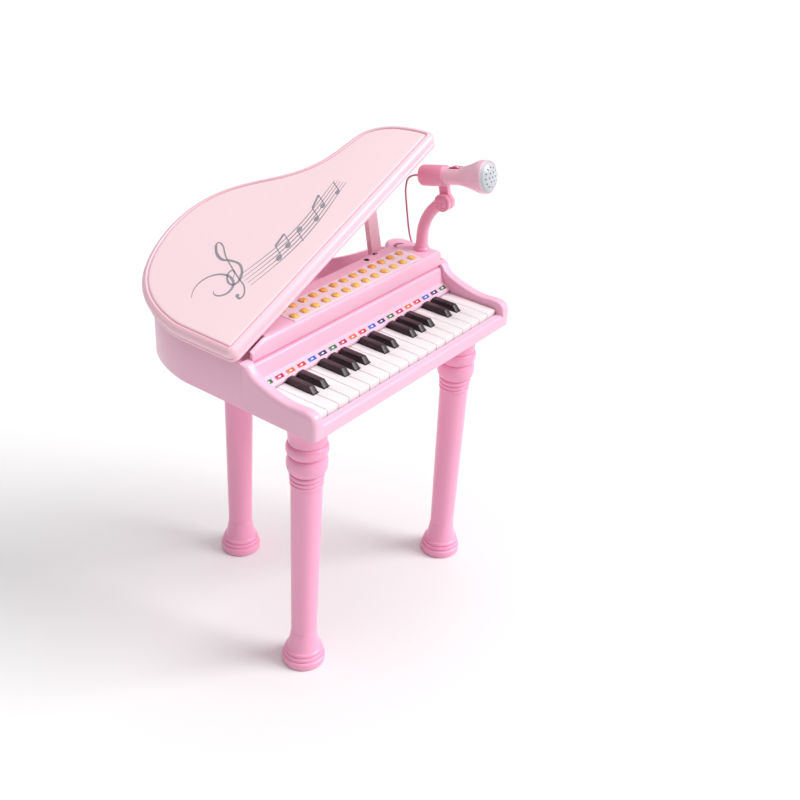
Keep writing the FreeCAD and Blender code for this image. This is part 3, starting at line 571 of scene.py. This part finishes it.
def flowing(points, steps):
    """Catmull-Rom curve through points."""
    pts = [Vector(p) for p in [points[0], *points, points[-1]]]
    out = []
    for a, b, c, d in zip(pts, pts[1:], pts[2:], pts[3:]):
        for i in range(steps):
            f = i / steps
            out.append(tuple(0.5 * (2 * b + (c - a) * f + (2 * a - 5 * b + 4 * c - d) * f * f
                                    + (3 * b - a - 3 * c + d) * f**3)))
    return out + [points[-1]]


# A treble clef, the plain sign that opens a stave: (x, y, stroke width) along its line.
CLEF = [(0, -3, 1.2), (5, 1, 2.2), (3, 7, 3.0), (-5, 7, 3.4), (-9, -1, 3.6), (-5, -10, 4.0),
        (5, -13, 4.2), (15, -7, 4.2), (17, 5, 4.0), (8, 19, 4.4), (-3, 31, 5.0), (-6, 44, 4.4),
        (-1, 55, 3.0), (5, 53, 2.6), (7, 44, 2.4), (4, 30, 2.2), (5, 10, 2.2), (7, -10, 2.2),
        (9, -24, 2.4), (4, -33, 3.0), (-4, -33, 4.0), (-6, -28, 6.0), (-4, -26, 3.0)]
CLEF_STEPS = 8
line = flowing([(x, y) for x, y, w in CLEF], CLEF_STEPS)
widths = [CLEF[min(i // CLEF_STEPS, len(CLEF) - 1)][2] * 0.8 for i in range(len(line))]
motif.append(lid_ribbon("clef", [(-112 + x + 0.65 * y, 188 + 1.05 * y) for x, y in line], widths))
motif.append(lid_ribbon("flourish_1", swirl(-137, 190, 6, 34, 150, 500), taper(45, 3.4)))
join("lid_motif", motif)

# ---------------------------------------------------------------- body shell
SHELL_INSET = 5.5
shell_rings = [(2.2, BASE), (0.9, BASE), (0.25, BASE + 0.3), (0.0, BASE + 1.2)]
shell_rings += [(0.0, BASE + 20), (0.0, RIM - 1.3), (0.25, RIM - 0.5), (0.8, RIM), (2.3, RIM),
                (2.8, RIM - 0.4), (3.0, RIM - 1.2), (3.0, TRAY + 2.0), (3.5, TRAY + 0.6), (5.0, TRAY)]
verts, faces = [], []
for inset, z in shell_rings:
    ring = plan(FASCIA_BACK + inset, max(0.6 - inset, 0.0), SHELL_INSET + inset)
    count = len(ring)
    verts += [(x, y, z) for x, y in ring]
faces = grid_faces(len(shell_rings), count, cap_end=True)
shell = piece("case_shell", verts, faces, CASE, "case")
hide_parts("upper_case")

cheek_top = [(-12, 409), (-11.7, 413), (-10.6, 417), (-8.4, 420.6), (-5, 423), (0, 424.5), (8, 425),
             (18, 424), (29, 423.7), (40, 425), (50, 427), (60, 429.6), (69, 432.4), (79, 436),
             (87, 440.4), (91, 444.5), (94, 449), (97.5, 451.3), (FASCIA_BACK, RIM)]


def cheek(name, inner, outer):
    """End block: the side outline swept across, drawn in at the rounded outer and inner edges."""
    outline = [(-12, BASE)] + cheek_top + [(FASCIA_BACK, BASE)]
    count = len(outline)
    normals = []
    for i, (y, z) in enumerate(outline):
        a, b = outline[max(i - 1, 0)], outline[min(i + 1, count - 1)]
        d = Vector((b[0] - a[0], b[1] - a[1])).normalized()
        normals.append((d.y, -d.x))
    normals[0] = (1.0, 0.0)
    normals[-1] = normals[-2] = (0.0, -1.0)
    side = 1 if outer > inner else -1
    r_in, r_out = 2.6, 7.5
    turn_in, turn_out = (20, 40, 60, 75, 90), (90, 75, 60, 45, 30, 15, 0)
    rings = [(inner, r_in)]
    for r, edge, way, angles in ((r_in, inner, side, turn_in), (r_out, outer, -side, turn_out)):
        rings += [(edge + way * (r - r * math.cos(math.radians(a))), r - r * math.sin(math.radians(a)))
                  for a in angles]
    verts = []
    for k, (x, inset) in enumerate(rings):
        for i, (y, z) in enumerate(outline):
            ny, nz = normals[i]
            if k <= len(turn_in) and y < -11 and z < 410:
                ny = 0.0
            share = 0.0 if i == count - 1 else min(1.0, max(0.2, (FASCIA_BACK - y) / 12.0))
            if i == count - 2:
                share = 0.2
            y2 = y + ny * inset * share
            z2 = z if i in (0, count - 1) else z + nz * inset * share
            verts.append((x, y2, z2))
    obj = piece(name, verts, grid_faces(len(rings), count, cap_start=True, cap_end=True), CASE, "case", 40)
    return obj


cheek("cheek_left", -CHEEK, -207.5)
cheek("cheek_right", CHEEK, 209.5)


def strip(name, profile, mat):
    """A closed (y, z) outline swept from cheek to cheek."""
    verts = [(x, y, z) for x in (-CHEEK, CHEEK) for y, z in profile]
    obj = piece(name, verts, grid_faces(2, len(profile), cap_start=True, cap_end=True), mat)


slip = [(-12, BASE), (-12, 401.5)] + arc(-8.2, 403.6, 3.8, 180, 95, 5)
slip += [(-4.5, 407.3), (-2.0, 407.3), (-1.1, 406.6), (-1, 405), (-1, BASE)]
strip("key_slip", slip, CASE)

# The part of the board that carries the labels runs from CHIPS_LOW to CHIPS_HIGH.
CHIPS_LOW, CHIPS_HIGH = (79.0, 419.4), (88.6, 425.4)
board = [(79.6, 415.1), (78.3, 415.6), (78.0, 416.6), (78.2, 418.4), CHIPS_LOW, CHIPS_HIGH,
         (89.9, 426.6), (90.8, 428.6), (95.6, 442.6), (96.4, 444.2), (97.6, 445.2), (99.4, 445.8),
         (FASCIA_BACK, 446), (FASCIA_BACK, 440), (96, 430), (92, 421), (84, 416)]
strip("label_board", board, CASE)
# The band recessed under the deck's front edge carries painted shade, a darker pink.
groove = [(99.9, 445), (99.9, 450.4), (FASCIA_BACK, 450.4), (FASCIA_BACK, 445)]
strip("deck_groove", groove, DECK_GAP_SHADE)
# The deck's front wall runs on to the left under the lid, cut to the lid's slope.
verts = []
for x in (-CHEEK, -180, -170.6, -159):
    top = min(DECK, 462.5 + (x + CHEEK) * 0.4545)
    section = [(FASCIA_BACK, 450), (97.97, 450)]
    section += [(104 - 6.03 * math.cos(math.radians(a)), top - 6 + 6 * math.sin(math.radians(a)))
                for a in (0, 15, 30, 45, 60, 75)]
    verts += [(x, y, z) for y, z in section]
faces = grid_faces(4, len(section), cap_start=True, cap_end=True)
obj = piece("deck_front_end", verts, faces, CASE, "case", 32)

# The deck: a rounded plateau with a well for the buttons, and a round lobe at its right rear.
DECK_LEFT, DECK_RIGHT, DECK_FRONT, DECK_REAR = -165, 191.2, 98, 164
LOBE_X, LOBE_Y, LOBE_R = 171.5, 157, 19.7


def deck_ring(d):
    """The deck's outline, moved inwards by d."""
    r = LOBE_R - d
    end = 180 - math.degrees(math.asin((DECK_REAR - d - LOBE_Y) / r))
    pts = [(DECK_LEFT + d, DECK_FRONT + d), (DECK_RIGHT - d, DECK_FRONT + d)]
    return pts + arc(LOBE_X, LOBE_Y, r, 0, end, 22) + [(DECK_LEFT + d, DECK_REAR - d)]


RECESS_X, RECESS_Y = 164, 148
SOCKET_PLACE = (93, 153)
EDGE_R = 6
rings = [(0.0, 450.0), (0.0, DECK - EDGE_R)]
rings += [(EDGE_R - EDGE_R * math.cos(math.radians(a)), DECK - EDGE_R + EDGE_R * math.sin(math.radians(a)))
          for a in (15, 30, 45, 60, 75, 90)]
verts = []
for inset, z in rings:
    verts += [(x, y, z) for x, y in deck_ring(inset)]
count = len(deck_ring(0))
deck = piece("deck", verts, grid_faces(len(rings), count, cap_start=True, cap_end=True), CASE, None, 40)
recess_edge = [on_circle(RECESS_X, RECESS_Y + 2, 9.5, a) for a in np.linspace(-16, 196, 22)]
recess_edge += [on_circle(RECESS_X, RECESS_Y - 4, 9.5, a) for a in np.linspace(162, 18, 16)]
cutters = [block("cut_panel", -112.3, 152.3, 101.7, 142.3, DECK - 1, DECK + 3, CASE, None),
           block("cut_well", -110.5, 148.5, 105.5, 139.5, 440, DECK, CASE, None),
           drum("cut_jack", *SOCKET_PLACE, DECK - 8, DECK + 2, 4.2, DARK, None),
           block("cut_switch", 112.4, 121.6, 155.4, 158.6, DECK - 7, DECK + 2, DARK, None),
           slab("cut_recess", recess_edge, DECK - 2.4, DECK + 2, RECESS_SHADE, None)]
deck = cut(deck, cutters)
smooth(deck, 32)
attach(deck, "case")

skirt_ring = [(x, max(y, 100.4)) for x, y in deck_ring(0.6)]
skirt = slab("deck_skirt", skirt_ring, TRAY - 0.5, 450.2, CASE)
for name, x0, x1, y1 in (("shoulder_left", -205, DECK_LEFT + 2, DECK_REAR),
                         ("shoulder_right", 189, 206, 170)):
    obj = block(name, x0, x1, FASCIA_BACK, y1, 446, 449, CASE, "case", 0.6)
    obj = block(name + "_end", x0, x1, y1 - 3, y1, TRAY - 1, 449, CASE, "case", 0.6)
for number, y in enumerate(HINGE_MIDDLES):
    for end in (-11, 6):
        ear = block("hinge_ear_%d_%d" % (number + 1, 1 if end < 0 else 2), -206, -196,
                    y + end, y + end + 5, 437, 454, CASE, "case", 1.6, 3)
ear = block("prop_ear", 133, 147, 176, 180, TRAY - 1, 447, CASE, "case", 1.8, 3)

# ---------------------------------------------------------------- deck fittings
jack_profile = [(1.8, -9.5), (1.8, -0.4), (2.4, 0.1), (3.9, 0.3), (4.15, 0.0), (4.15, -6)]
jack = lathe("audio_socket", jack_profile, DARK, (*SOCKET_PLACE, DECK), steps=40)
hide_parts("aux_jack")
knob = block("power_knob", 112.8, 117.2, 155.7, 158.3, DECK - 5, DECK + 1.5, DARK, "power_slider", 0.5)
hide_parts("power_switch")

# The crescent recess's floor is painted shade, a dark reddish pink.
recess_floor = [(RECESS_X + (x - RECESS_X) * 0.97, RECESS_Y + (y - RECESS_Y) * 0.97) for x, y in recess_edge]
obj = slab("deck_crescent", recess_floor, DECK - 2.6, DECK - 1.9, RECESS_SHADE)
panel_lines = []
for k, (x0, x1, y0, y1) in enumerate(((-110.2, 150.2, 103.6, 104.3), (-110.2, 150.2, 139.7, 140.4),
                                      (-110.2, -109.5, 103.6, 140.4), (149.5, 150.2, 103.6, 140.4))):
    panel_lines.append(block("panel_line_%d" % k, x0, x1, y0, y1, DECK + 0.5, DECK + 0.7, LINE, "case"))
for k in range(1, BUTTONS):
    x = BUTTON_FIRST + BUTTON_PITCH * (k - 0.5)
    panel_lines.append(block("panel_tick_%d" % k, x - 0.25, x + 0.25, 119.5, 125.5,
                             DECK + 0.5, DECK + 0.68, LINE, "case"))
obj = join("panel_print", panel_lines)


def button_row(name, node, body, y, mat):
    """A row of domed buttons, joined into one piece."""
    domes = []
    profile = [(5.8, -3.6), (5.8, 1.1), (5.6, 1.7), (5.0, 2.3), (4.0, 2.8), (2.8, 3.15), (1.4, 3.35),
               (0.01, 3.4)]
    for i in range(BUTTONS):
        place = (BUTTON_FIRST + BUTTON_PITCH * i, y, DECK)
        domes.append(lathe("%s_%02d" % (name, i + 1), profile, mat, place, body=body, steps=36, angle=60))
    obj = join(name, domes)
    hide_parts(node)
    return obj


row = button_row("buttons_front", "button_row_front", "front_buttons", 112, YELLOW)
row = button_row("buttons_rear", "button_row_rear", "rear_buttons", 133, ORANGE)

# Coloured label chips on the board behind the keys, each with a plain pale dot.
chips = []
slope = math.atan2(CHIPS_HIGH[1] - CHIPS_LOW[1], CHIPS_HIGH[0] - CHIPS_LOW[0])
turn = Matrix.Rotation(slope, 4, "X")
oval = [(2.3 * math.cos(math.radians(a)), 0.9 * math.sin(math.radians(a))) for a in range(0, 360, 18)]
for i in range(WHITE_KEYS):
    chip = block("chip_%02d" % i, -6.8, 6.8, -2.8, 2.8, -0.2, 0.35, LABELS[i % 6], None, 0.15)
    dot = slab("dot_%02d" % i, oval, 0.2, 0.5, LINE, None)
    place = Matrix.Translation(world(key_x(i + 1), 83.8, 422.4))
    for obj in (chip, dot):
        obj.data.transform(place @ turn @ Matrix.Translation(-SHIFT * MM))
        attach(obj, "case")
        chips.append(obj)
chips = join("key_labels", chips)

# ---------------------------------------------------------------- keys
# A white key narrows beside each black key, which stands on the joint after the white key of that number.
BLACK_JOINTS = [2, 3, 5, 6, 7, 9, 10, 12, 13, 14, 16, 17]
half, slot_half, notch, back = 9.6, 4.0, 34, 118
for i in range(1, WHITE_KEYS + 1):
    left = slot_half if i - 1 in BLACK_JOINTS else half
    right_w = slot_half if i in BLACK_JOINTS else half
    outline = [(-half, 0), (half, 0)]
    if right_w < half:
        outline += [(half, notch), (right_w, notch)]
    outline += [(right_w, back), (-left, back)]
    if left < half:
        outline += [(-left, notch), (-half, notch)]
    outline = [(key_x(i) + a, b) for a, b in outline]
    body = "white_key_%02d" % i
    key = slab("ivory_%02d" % i, outline, KEY_TOP - 12, KEY_TOP, WHITE, body, 0.9, 3)
    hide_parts(body)
low, high = KEY_TOP - 12, KEY_TOP + 7.6
side = [(35, low), (35, KEY_TOP), (42, high), (76.5, high), (76.5, KEY_TOP - 1),
        (back, KEY_TOP - 1), (back, low)]
for i, joint in enumerate(BLACK_JOINTS, 1):
    body = "black_key_%02d" % i
    verts = []
    for s in (-1, 1):
        for y, z in side:
            reach = 5.2 if z <= KEY_TOP else 4.4
            verts.append((key_x(joint + 0.5) + s * reach, y, z))
    faces = grid_faces(2, len(side), cap_start=True, cap_end=True)
    key = piece("ebony_%02d" % i, verts, faces, BLACK, body, 32, 0.7, 3)
    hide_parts(body)

# ---------------------------------------------------------------- legs, sockets and feet
LEG_PLACES = {"leg_front_left": (-160.6, 37.5), "leg_front_right": (160.6, 37.5), "leg_rear": (-37, 271.6)}


def bead(r, z, bulge, half):
    """Half-round bead on a radius r, centred at height z."""
    return [(r + bulge * math.cos(math.radians(a)), z + half * math.sin(math.radians(a)))
            for a in (-90, -70, -50, -30, -10, 10, 30, 50, 70, 90)]


leg_profile = [(13.5, 52.8), (17.4, 52.8), (17.5, 60), (18.4, 130), (19.4, 210), (20.3, 286)]
leg_profile += bead(20.2, 290.5, 1.3, 2.4) + bead(20.3, 296.5, 1.5, 2.6) + bead(20.6, 303.5, 1.9, 3.0)
leg_profile += [(21.3, 308)] + bead(22.4, 321, 3.9, 11.5) + [(23.0, 333.4)] + bead(23.4, 342.4, 3.6, 7.6)
leg_profile += [(23.6, 351), (17.5, 351), (17.5, 379), (13.5, 379)]
foot_profile = [(0.01, 0), (26.4, 0), (28.2, 0.7), (29.0, 2.4), (29.0, 9.0), (28.6, 10.6), (27.2, 11.8)]
foot_profile += bead(25.4, 15.2, 1.5, 3.0) + bead(23.6, 21.4, 1.5, 2.8)
foot_profile += [(22.6, 25.4), (21.2, 29.5), (19.8, 35), (18.8, 41), (18.0, 47), (17.7, 50), (17.5, 52.2),
                 (17.1, 52.6)]
socket_profile = [(17.7, 372), (17.7, 351.2), (23.6, 351.2), (24.2, 352.2)]
socket_profile += [(24.3, 356), (24.7, 361), (25.4, 366), (26.6, 371), (28.2, 376), (30.2, 381),
                   (32.6, 386), (34.2, 390.4)]
feet = []
for name, (x, y) in LEG_PLACES.items():
    obj = lathe(name + "_column", leg_profile, LEG, (x, y, 0), steps=72)
    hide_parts(name)
    feet.append(lathe(name + "_foot", foot_profile, LEG, (x, y, 0), steps=72))
    obj = lathe(name + "_socket", socket_profile, LEG, (x, y, 0), steps=72)
feet = join("feet", feet)
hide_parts("leg_feet")

# ---------------------------------------------------------------- underside plate
PLATE_LOW, PLATE_HIGH = BASE + 0.6, BASE + 3
plate = slab("base_plate", plan(FASCIA_BACK, 0.0, SHELL_INSET + 2.0), PLATE_LOW, PLATE_HIGH, CASE, None)
front = block("base_front", -CHEEK, CHEEK, -1.2, FASCIA_BACK + 0.5, PLATE_LOW, PLATE_HIGH, CASE, None)
holes = []
for ring in range(4):
    for i in range(max(1, 6 * ring)):
        a = 2 * math.pi * i / max(1, 6 * ring)
        x, y = -95 + 7 * ring * math.cos(a), 215 + 7 * ring * math.sin(a)
        holes.append(drum("hole_%d_%d" % (ring, i), x, y, BASE - 2, BASE + 5, 2, DARK, None, 16))
holes.append(block("hole_battery", -6, 66, 160, 220, BASE - 2, BASE + 5, DARK, None))
for k, (x, y) in enumerate(SCREW_PLACES):
    holes.append(drum("hole_screw_%d" % k, x, y, BASE - 2, BASE + 5, 3.4, DARK, None, 20))
plate = cut(plate, holes)
smooth(plate)
for obj in (plate, front):
    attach(obj, "case")
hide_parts("lower_case")

# ---------------------------------------------------------------- prop
PROP_PIVOT = Vector((140, 0, 440))
prop_turn = Matrix.Rotation(math.radians(14), 4, Vector((0, -1, 0)))
length, half, tip = 165.9, 11.0, 9.0
spread = math.degrees(math.asin(tip / length))
outline = [(-half * math.sin(math.radians(a)), -half * math.cos(math.radians(a)))
           for a in np.linspace(-90, 90, 19)]
outline += [(length * math.sin(math.radians(a)), length * math.cos(math.radians(a)))
            for a in np.linspace(-spread, spread, 7)]
verts = [(x, y, z) for y in (166, 174) for x, z in outline]
verts = [PROP_PIVOT + prop_turn.to_3x3() @ Vector(v) for v in verts]
faces = grid_faces(2, len(outline), cap_start=True, cap_end=True)
stay = piece("prop_stay", verts, faces, LID_RIM, "prop", 32, 0.8, 3)
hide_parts("prop_stick")

# ---------------------------------------------------------------- microphone arm
ARM_FOOT = Vector((176, 121, DECK))
KNOB = Vector((176, 88.6, 550.4))
clamp_side = KNOB - Vector((8.0, 0, 0))
bend_start = ARM_FOOT + Vector((0, 0, 21))
reach, rise = bend_start.y - KNOB.y, KNOB.z - bend_start.z
radius = (reach**2 + rise**2) / (2 * reach)
sweep = math.asin(rise / radius)
arm_pts = [ARM_FOOT, ARM_FOOT + Vector((0, 0, 10))]
for i in range(16):
    bend = sweep * i / 16
    arm_pts.append(bend_start + Vector((0, -radius * (1 - math.cos(bend)), radius * math.sin(bend))))
arm = tube("arm_tube", arm_pts, [8.4] * 3 + [8.3 - 0.02 * i for i in range(15)], MIC_PINK, "case", 36)
collar_profile = [(8.2, 8), (9.0, 7.6), (9.4, 6.4), (9.6, 4.6), (10.6, 3.4), (11.4, 2.2), (11.6, 0.1),
                  (11.0, 0.0)]
collar = lathe("arm_collar", collar_profile, MIC_PINK, ARM_FOOT, steps=48)
eye_profile = [(3.05, 0), (11.3, 0), (12.0, 0.7), (12.0, 6.9), (11.4, 7.6), (3.05, 7.6)]
eye = lathe("arm_eye", eye_profile, MIC_PINK, clamp_side, (1, 0, 0), steps=56, closed=True)
spigot = lathe("arm_spigot", [(0.01, -7), (7, -7), (7, 0.5)], MIC_PINK, ARM_FOOT, steps=32)
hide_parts("mic_arm")
cap_profile = [(3.0, 0), (8.0, 0), (8.5, -0.5), (8.5, -2.0), (8.0, -2.5), (6.9, -2.5), (6.6, -2.0),
               (6.2, -2.0), (5.8, -2.9), (5.2, -3.4), (4.2, -3.5), (3.9, -3.0), (2.2, -3.0),
               (1.9, -3.4), (0.01, -3.5)]
cap = lathe("pivot_knob", cap_profile, MIC_PINK, clamp_side, (1, 0, 0), steps=56)
bolt_profile = [(3.0, -1), (3.0, 15.2), (2.6, 15.5), (0.01, 15.5)]
bolt = lathe("pivot_bolt", bolt_profile, MIC_PINK, clamp_side, (1, 0, 0), steps=32)
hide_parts("mic_pivot_knob")

# ---------------------------------------------------------------- microphone
sleeve_profile = [(12.15, 0.4), (12.6, 0), (13.2, 0), (13.9, 0.6), (14.2, 1.8), (14.2, 4), (14.2, 7),
                  (14.2, 25), (14.2, 28), (14.2, 34), (14.2, 37.6), (13.9, 38.6), (13.2, 39),
                  (12.6, 39), (12.15, 38.6)]
sleeve = lathe("holder_sleeve", sleeve_profile, MIC_PINK, MIC, MIC_AXIS, "mic_head", 144, closed=True)
foot = MIC + MIC_AXIS * 30.4
along = (foot - KNOB).normalized()
across = Vector((0, along.z, -along.y))
reach = (foot - KNOB).length
neck_edge = [(-9.0, 4.0), (-7.6, 9.0), (-7.2, 12.5), (-7.5, reach - 13), (-7.5, reach - 11.5),
             (7.5, reach - 11.5), (7.5, reach - 13), (7.2, 12.5), (7.6, 9.0), (9.0, 4.0)]
verts = [KNOB + Vector((x, 0, 0)) + across * a + along * b for x in (0.15, 7.45) for a, b in neck_edge]
faces = grid_faces(2, len(neck_edge), cap_start=True, cap_end=True)
neck = piece("holder_neck", verts, faces, MIC_PINK, "mic_head", 32, 0.9, 3)
eye_profile = [(3.1, 0), (11.3, 0), (12, 0.7), (12, 6.7), (11.3, 7.4), (3.1, 7.4)]
holder_eye = lathe("holder_eye", eye_profile, MIC_PINK, KNOB + Vector((0.1, 0, 0)), (1, 0, 0), "mic_head",
                   56, closed=True)
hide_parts("mic_holder")
mic_profile = [(0.01, -7), (1.3, -7), (2.2, -6.9), (3.3, -4.8), (3.4, -1.6), (8.4, -1.5), (10.4, -0.6),
               (11.7, 1.4), (12.0, 3.4), (12.0, 46), (12.05, 58), (12.3, 63), (12.8, 66.5), (13.7, 71),
               (15.0, 76), (16.6, 81), (18.2, 85.5), (19.7, 89.5), (21.0, 93.5), (21.2, 95.0), (21.8, 96.0),
               (22.0, 97.6), (22.0, 103), (21.8, 104.6), (21.2, 105.7), (20.8, 106.0), (20.42, 105.7),
               (20.4, 100.2), (0.01, 100.1)]
mic = lathe("microphone", mic_profile, BELL_PINK, MIC, MIC_AXIS, "mic_head", 144)


def flute(obj, t0, t1, count, depth):
    """Fine grooves along a turned piece's axis, between two distances from its base."""
    base = world(*MIC)
    side = Vector((1, 0, 0))
    lift = MIC_AXIS.cross(side)
    for vertex in obj.data.vertices:
        rel = (vertex.co - base) / MM
        t = rel.dot(MIC_AXIS)
        out = rel - MIC_AXIS * t
        if t0 < t < t1 and out.length > 11.9:
            turn = math.atan2(out.dot(lift), out.dot(side))
            share = min(1.0, (t - t0) / 3, (t1 - t) / 3)
            vertex.co -= out.normalized() * depth * share * (0.5 - 0.5 * math.cos(count * turn)) * MM


flute(mic, 63, 94, 36, 0.45)
flute(sleeve, 2.5, 29.5, 36, 0.5)
up_axis = Vector((0, math.sin(TILT), math.cos(TILT)))


def mic_point(x, u, t):
    """A point beside the microphone: x across, u up from its axis, t along it."""
    return MIC + Vector((1, 0, 0)) * x + up_axis * u + MIC_AXIS * t


def mic_box(name, x, u0, u1, t0, t1, mat, body, bevel):
    verts = [mic_point(*v) for v in ((-x, u0, t0), (x, u0, t0), (x, u0, t1), (-x, u0, t1),
                                     (-x, u1, t0), (x, u1, t0), (x, u1, t1), (-x, u1, t1))]
    return piece(name, verts, grid_faces(2, 4, cap_start=True, cap_end=True), mat, body, 32, bevel, 3)


slide = mic_box("mic_slide", 3.0, 10.5, 13.9, 52, 59, MIC_PINK, "mic_slider", 0.7)
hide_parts("mic_switch")
# The slide's bed is painted shade, a dark reddish pink around the switch's slot.
frame_box = mic_box("mic_slide_bed", 5.2, 9.0, 12.25, 47.5, 64.0, RECESS_SHADE, "mic_head", 0.5)
well = mic_box("cut_slide", 3.25, 10.4, 16, 49.2, 62.6, RECESS_SHADE, None, 0)
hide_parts("mic_body")
mic_rest = [mic, frame_box]
for obj in mic_rest:
    obj.parent = None
cut(frame_box, [well])
for obj in mic_rest:
    smooth(obj)
    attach(obj, "mic_head")
foam_profile = [(0.01, 100.3), (18.0, 100.3), (18.0, 103.4), (9.6, 108.3), (0.01, 109.6)]
foam = lathe("grille_foam_disc", foam_profile, FOAM, MIC, MIC_AXIS, "mic_head", 48)

# ---------------------------------------------------------------- carried-over CAD nodes
CARRIED = {"button_panel": PANEL, "hinge_pins": STEEL, "prop_pin": STEEL, "mic_grille": SILVER,
           "cord_grommet": CORD, "key_contact_board": BOARD, "key_pivot_rod": STEEL, "speaker": PAPER,
           "battery_door": CASE, "batteries": CELL, "case_screws": STEEL}
for node, mat in CARRIED.items():
    mesh = frame["nodes"][node].data
    mesh.materials.clear()
    mesh.materials.append(mat)

# ---------------------------------------------------------------- stage and light
floor_mat = bpy.data.materials.new("floor")
floor_mat.use_nodes = True
shader = floor_mat.node_tree.nodes["Principled BSDF"]
shader.inputs["Base Color"].default_value = (0.86, 0.86, 0.86, 1)
shader.inputs["Roughness"].default_value = 0.9
mesh = bpy.data.meshes.new("floor")
mesh.from_pydata([(-12, -12, 0), (12, -12, 0), (12, 12, 0), (-12, 12, 0)], [], [(0, 1, 2, 3)])
floor = bpy.data.objects.new("floor", mesh)
bpy.context.scene.collection.objects.link(floor)
mesh.materials.append(floor_mat)


def sun(name, direction, strength, spread):
    """Soft, even light from the direction given."""
    data = bpy.data.lights.new(name, "SUN")
    data.energy = strength
    data.angle = math.radians(spread)
    obj = bpy.data.objects.new(name, data)
    bpy.context.scene.collection.objects.link(obj)
    obj.rotation_euler = Vector(direction).to_track_quat("Z", "Y").to_euler()


sun("key_light", (0.44, -0.64, 0.63), 2.35, 34)
sun("top_light", (0.05, -0.02, 1.0), 1.55, 70)
sky = bpy.data.worlds.new("sky")
bpy.context.scene.world = sky
sky.use_nodes = True
sky.node_tree.nodes["Background"].inputs["Color"].default_value = (1.0, 1.0, 1.0, 1)
sky.node_tree.nodes["Background"].inputs["Strength"].default_value = 0.24
bpy.context.scene.view_settings.view_transform = "Standard"
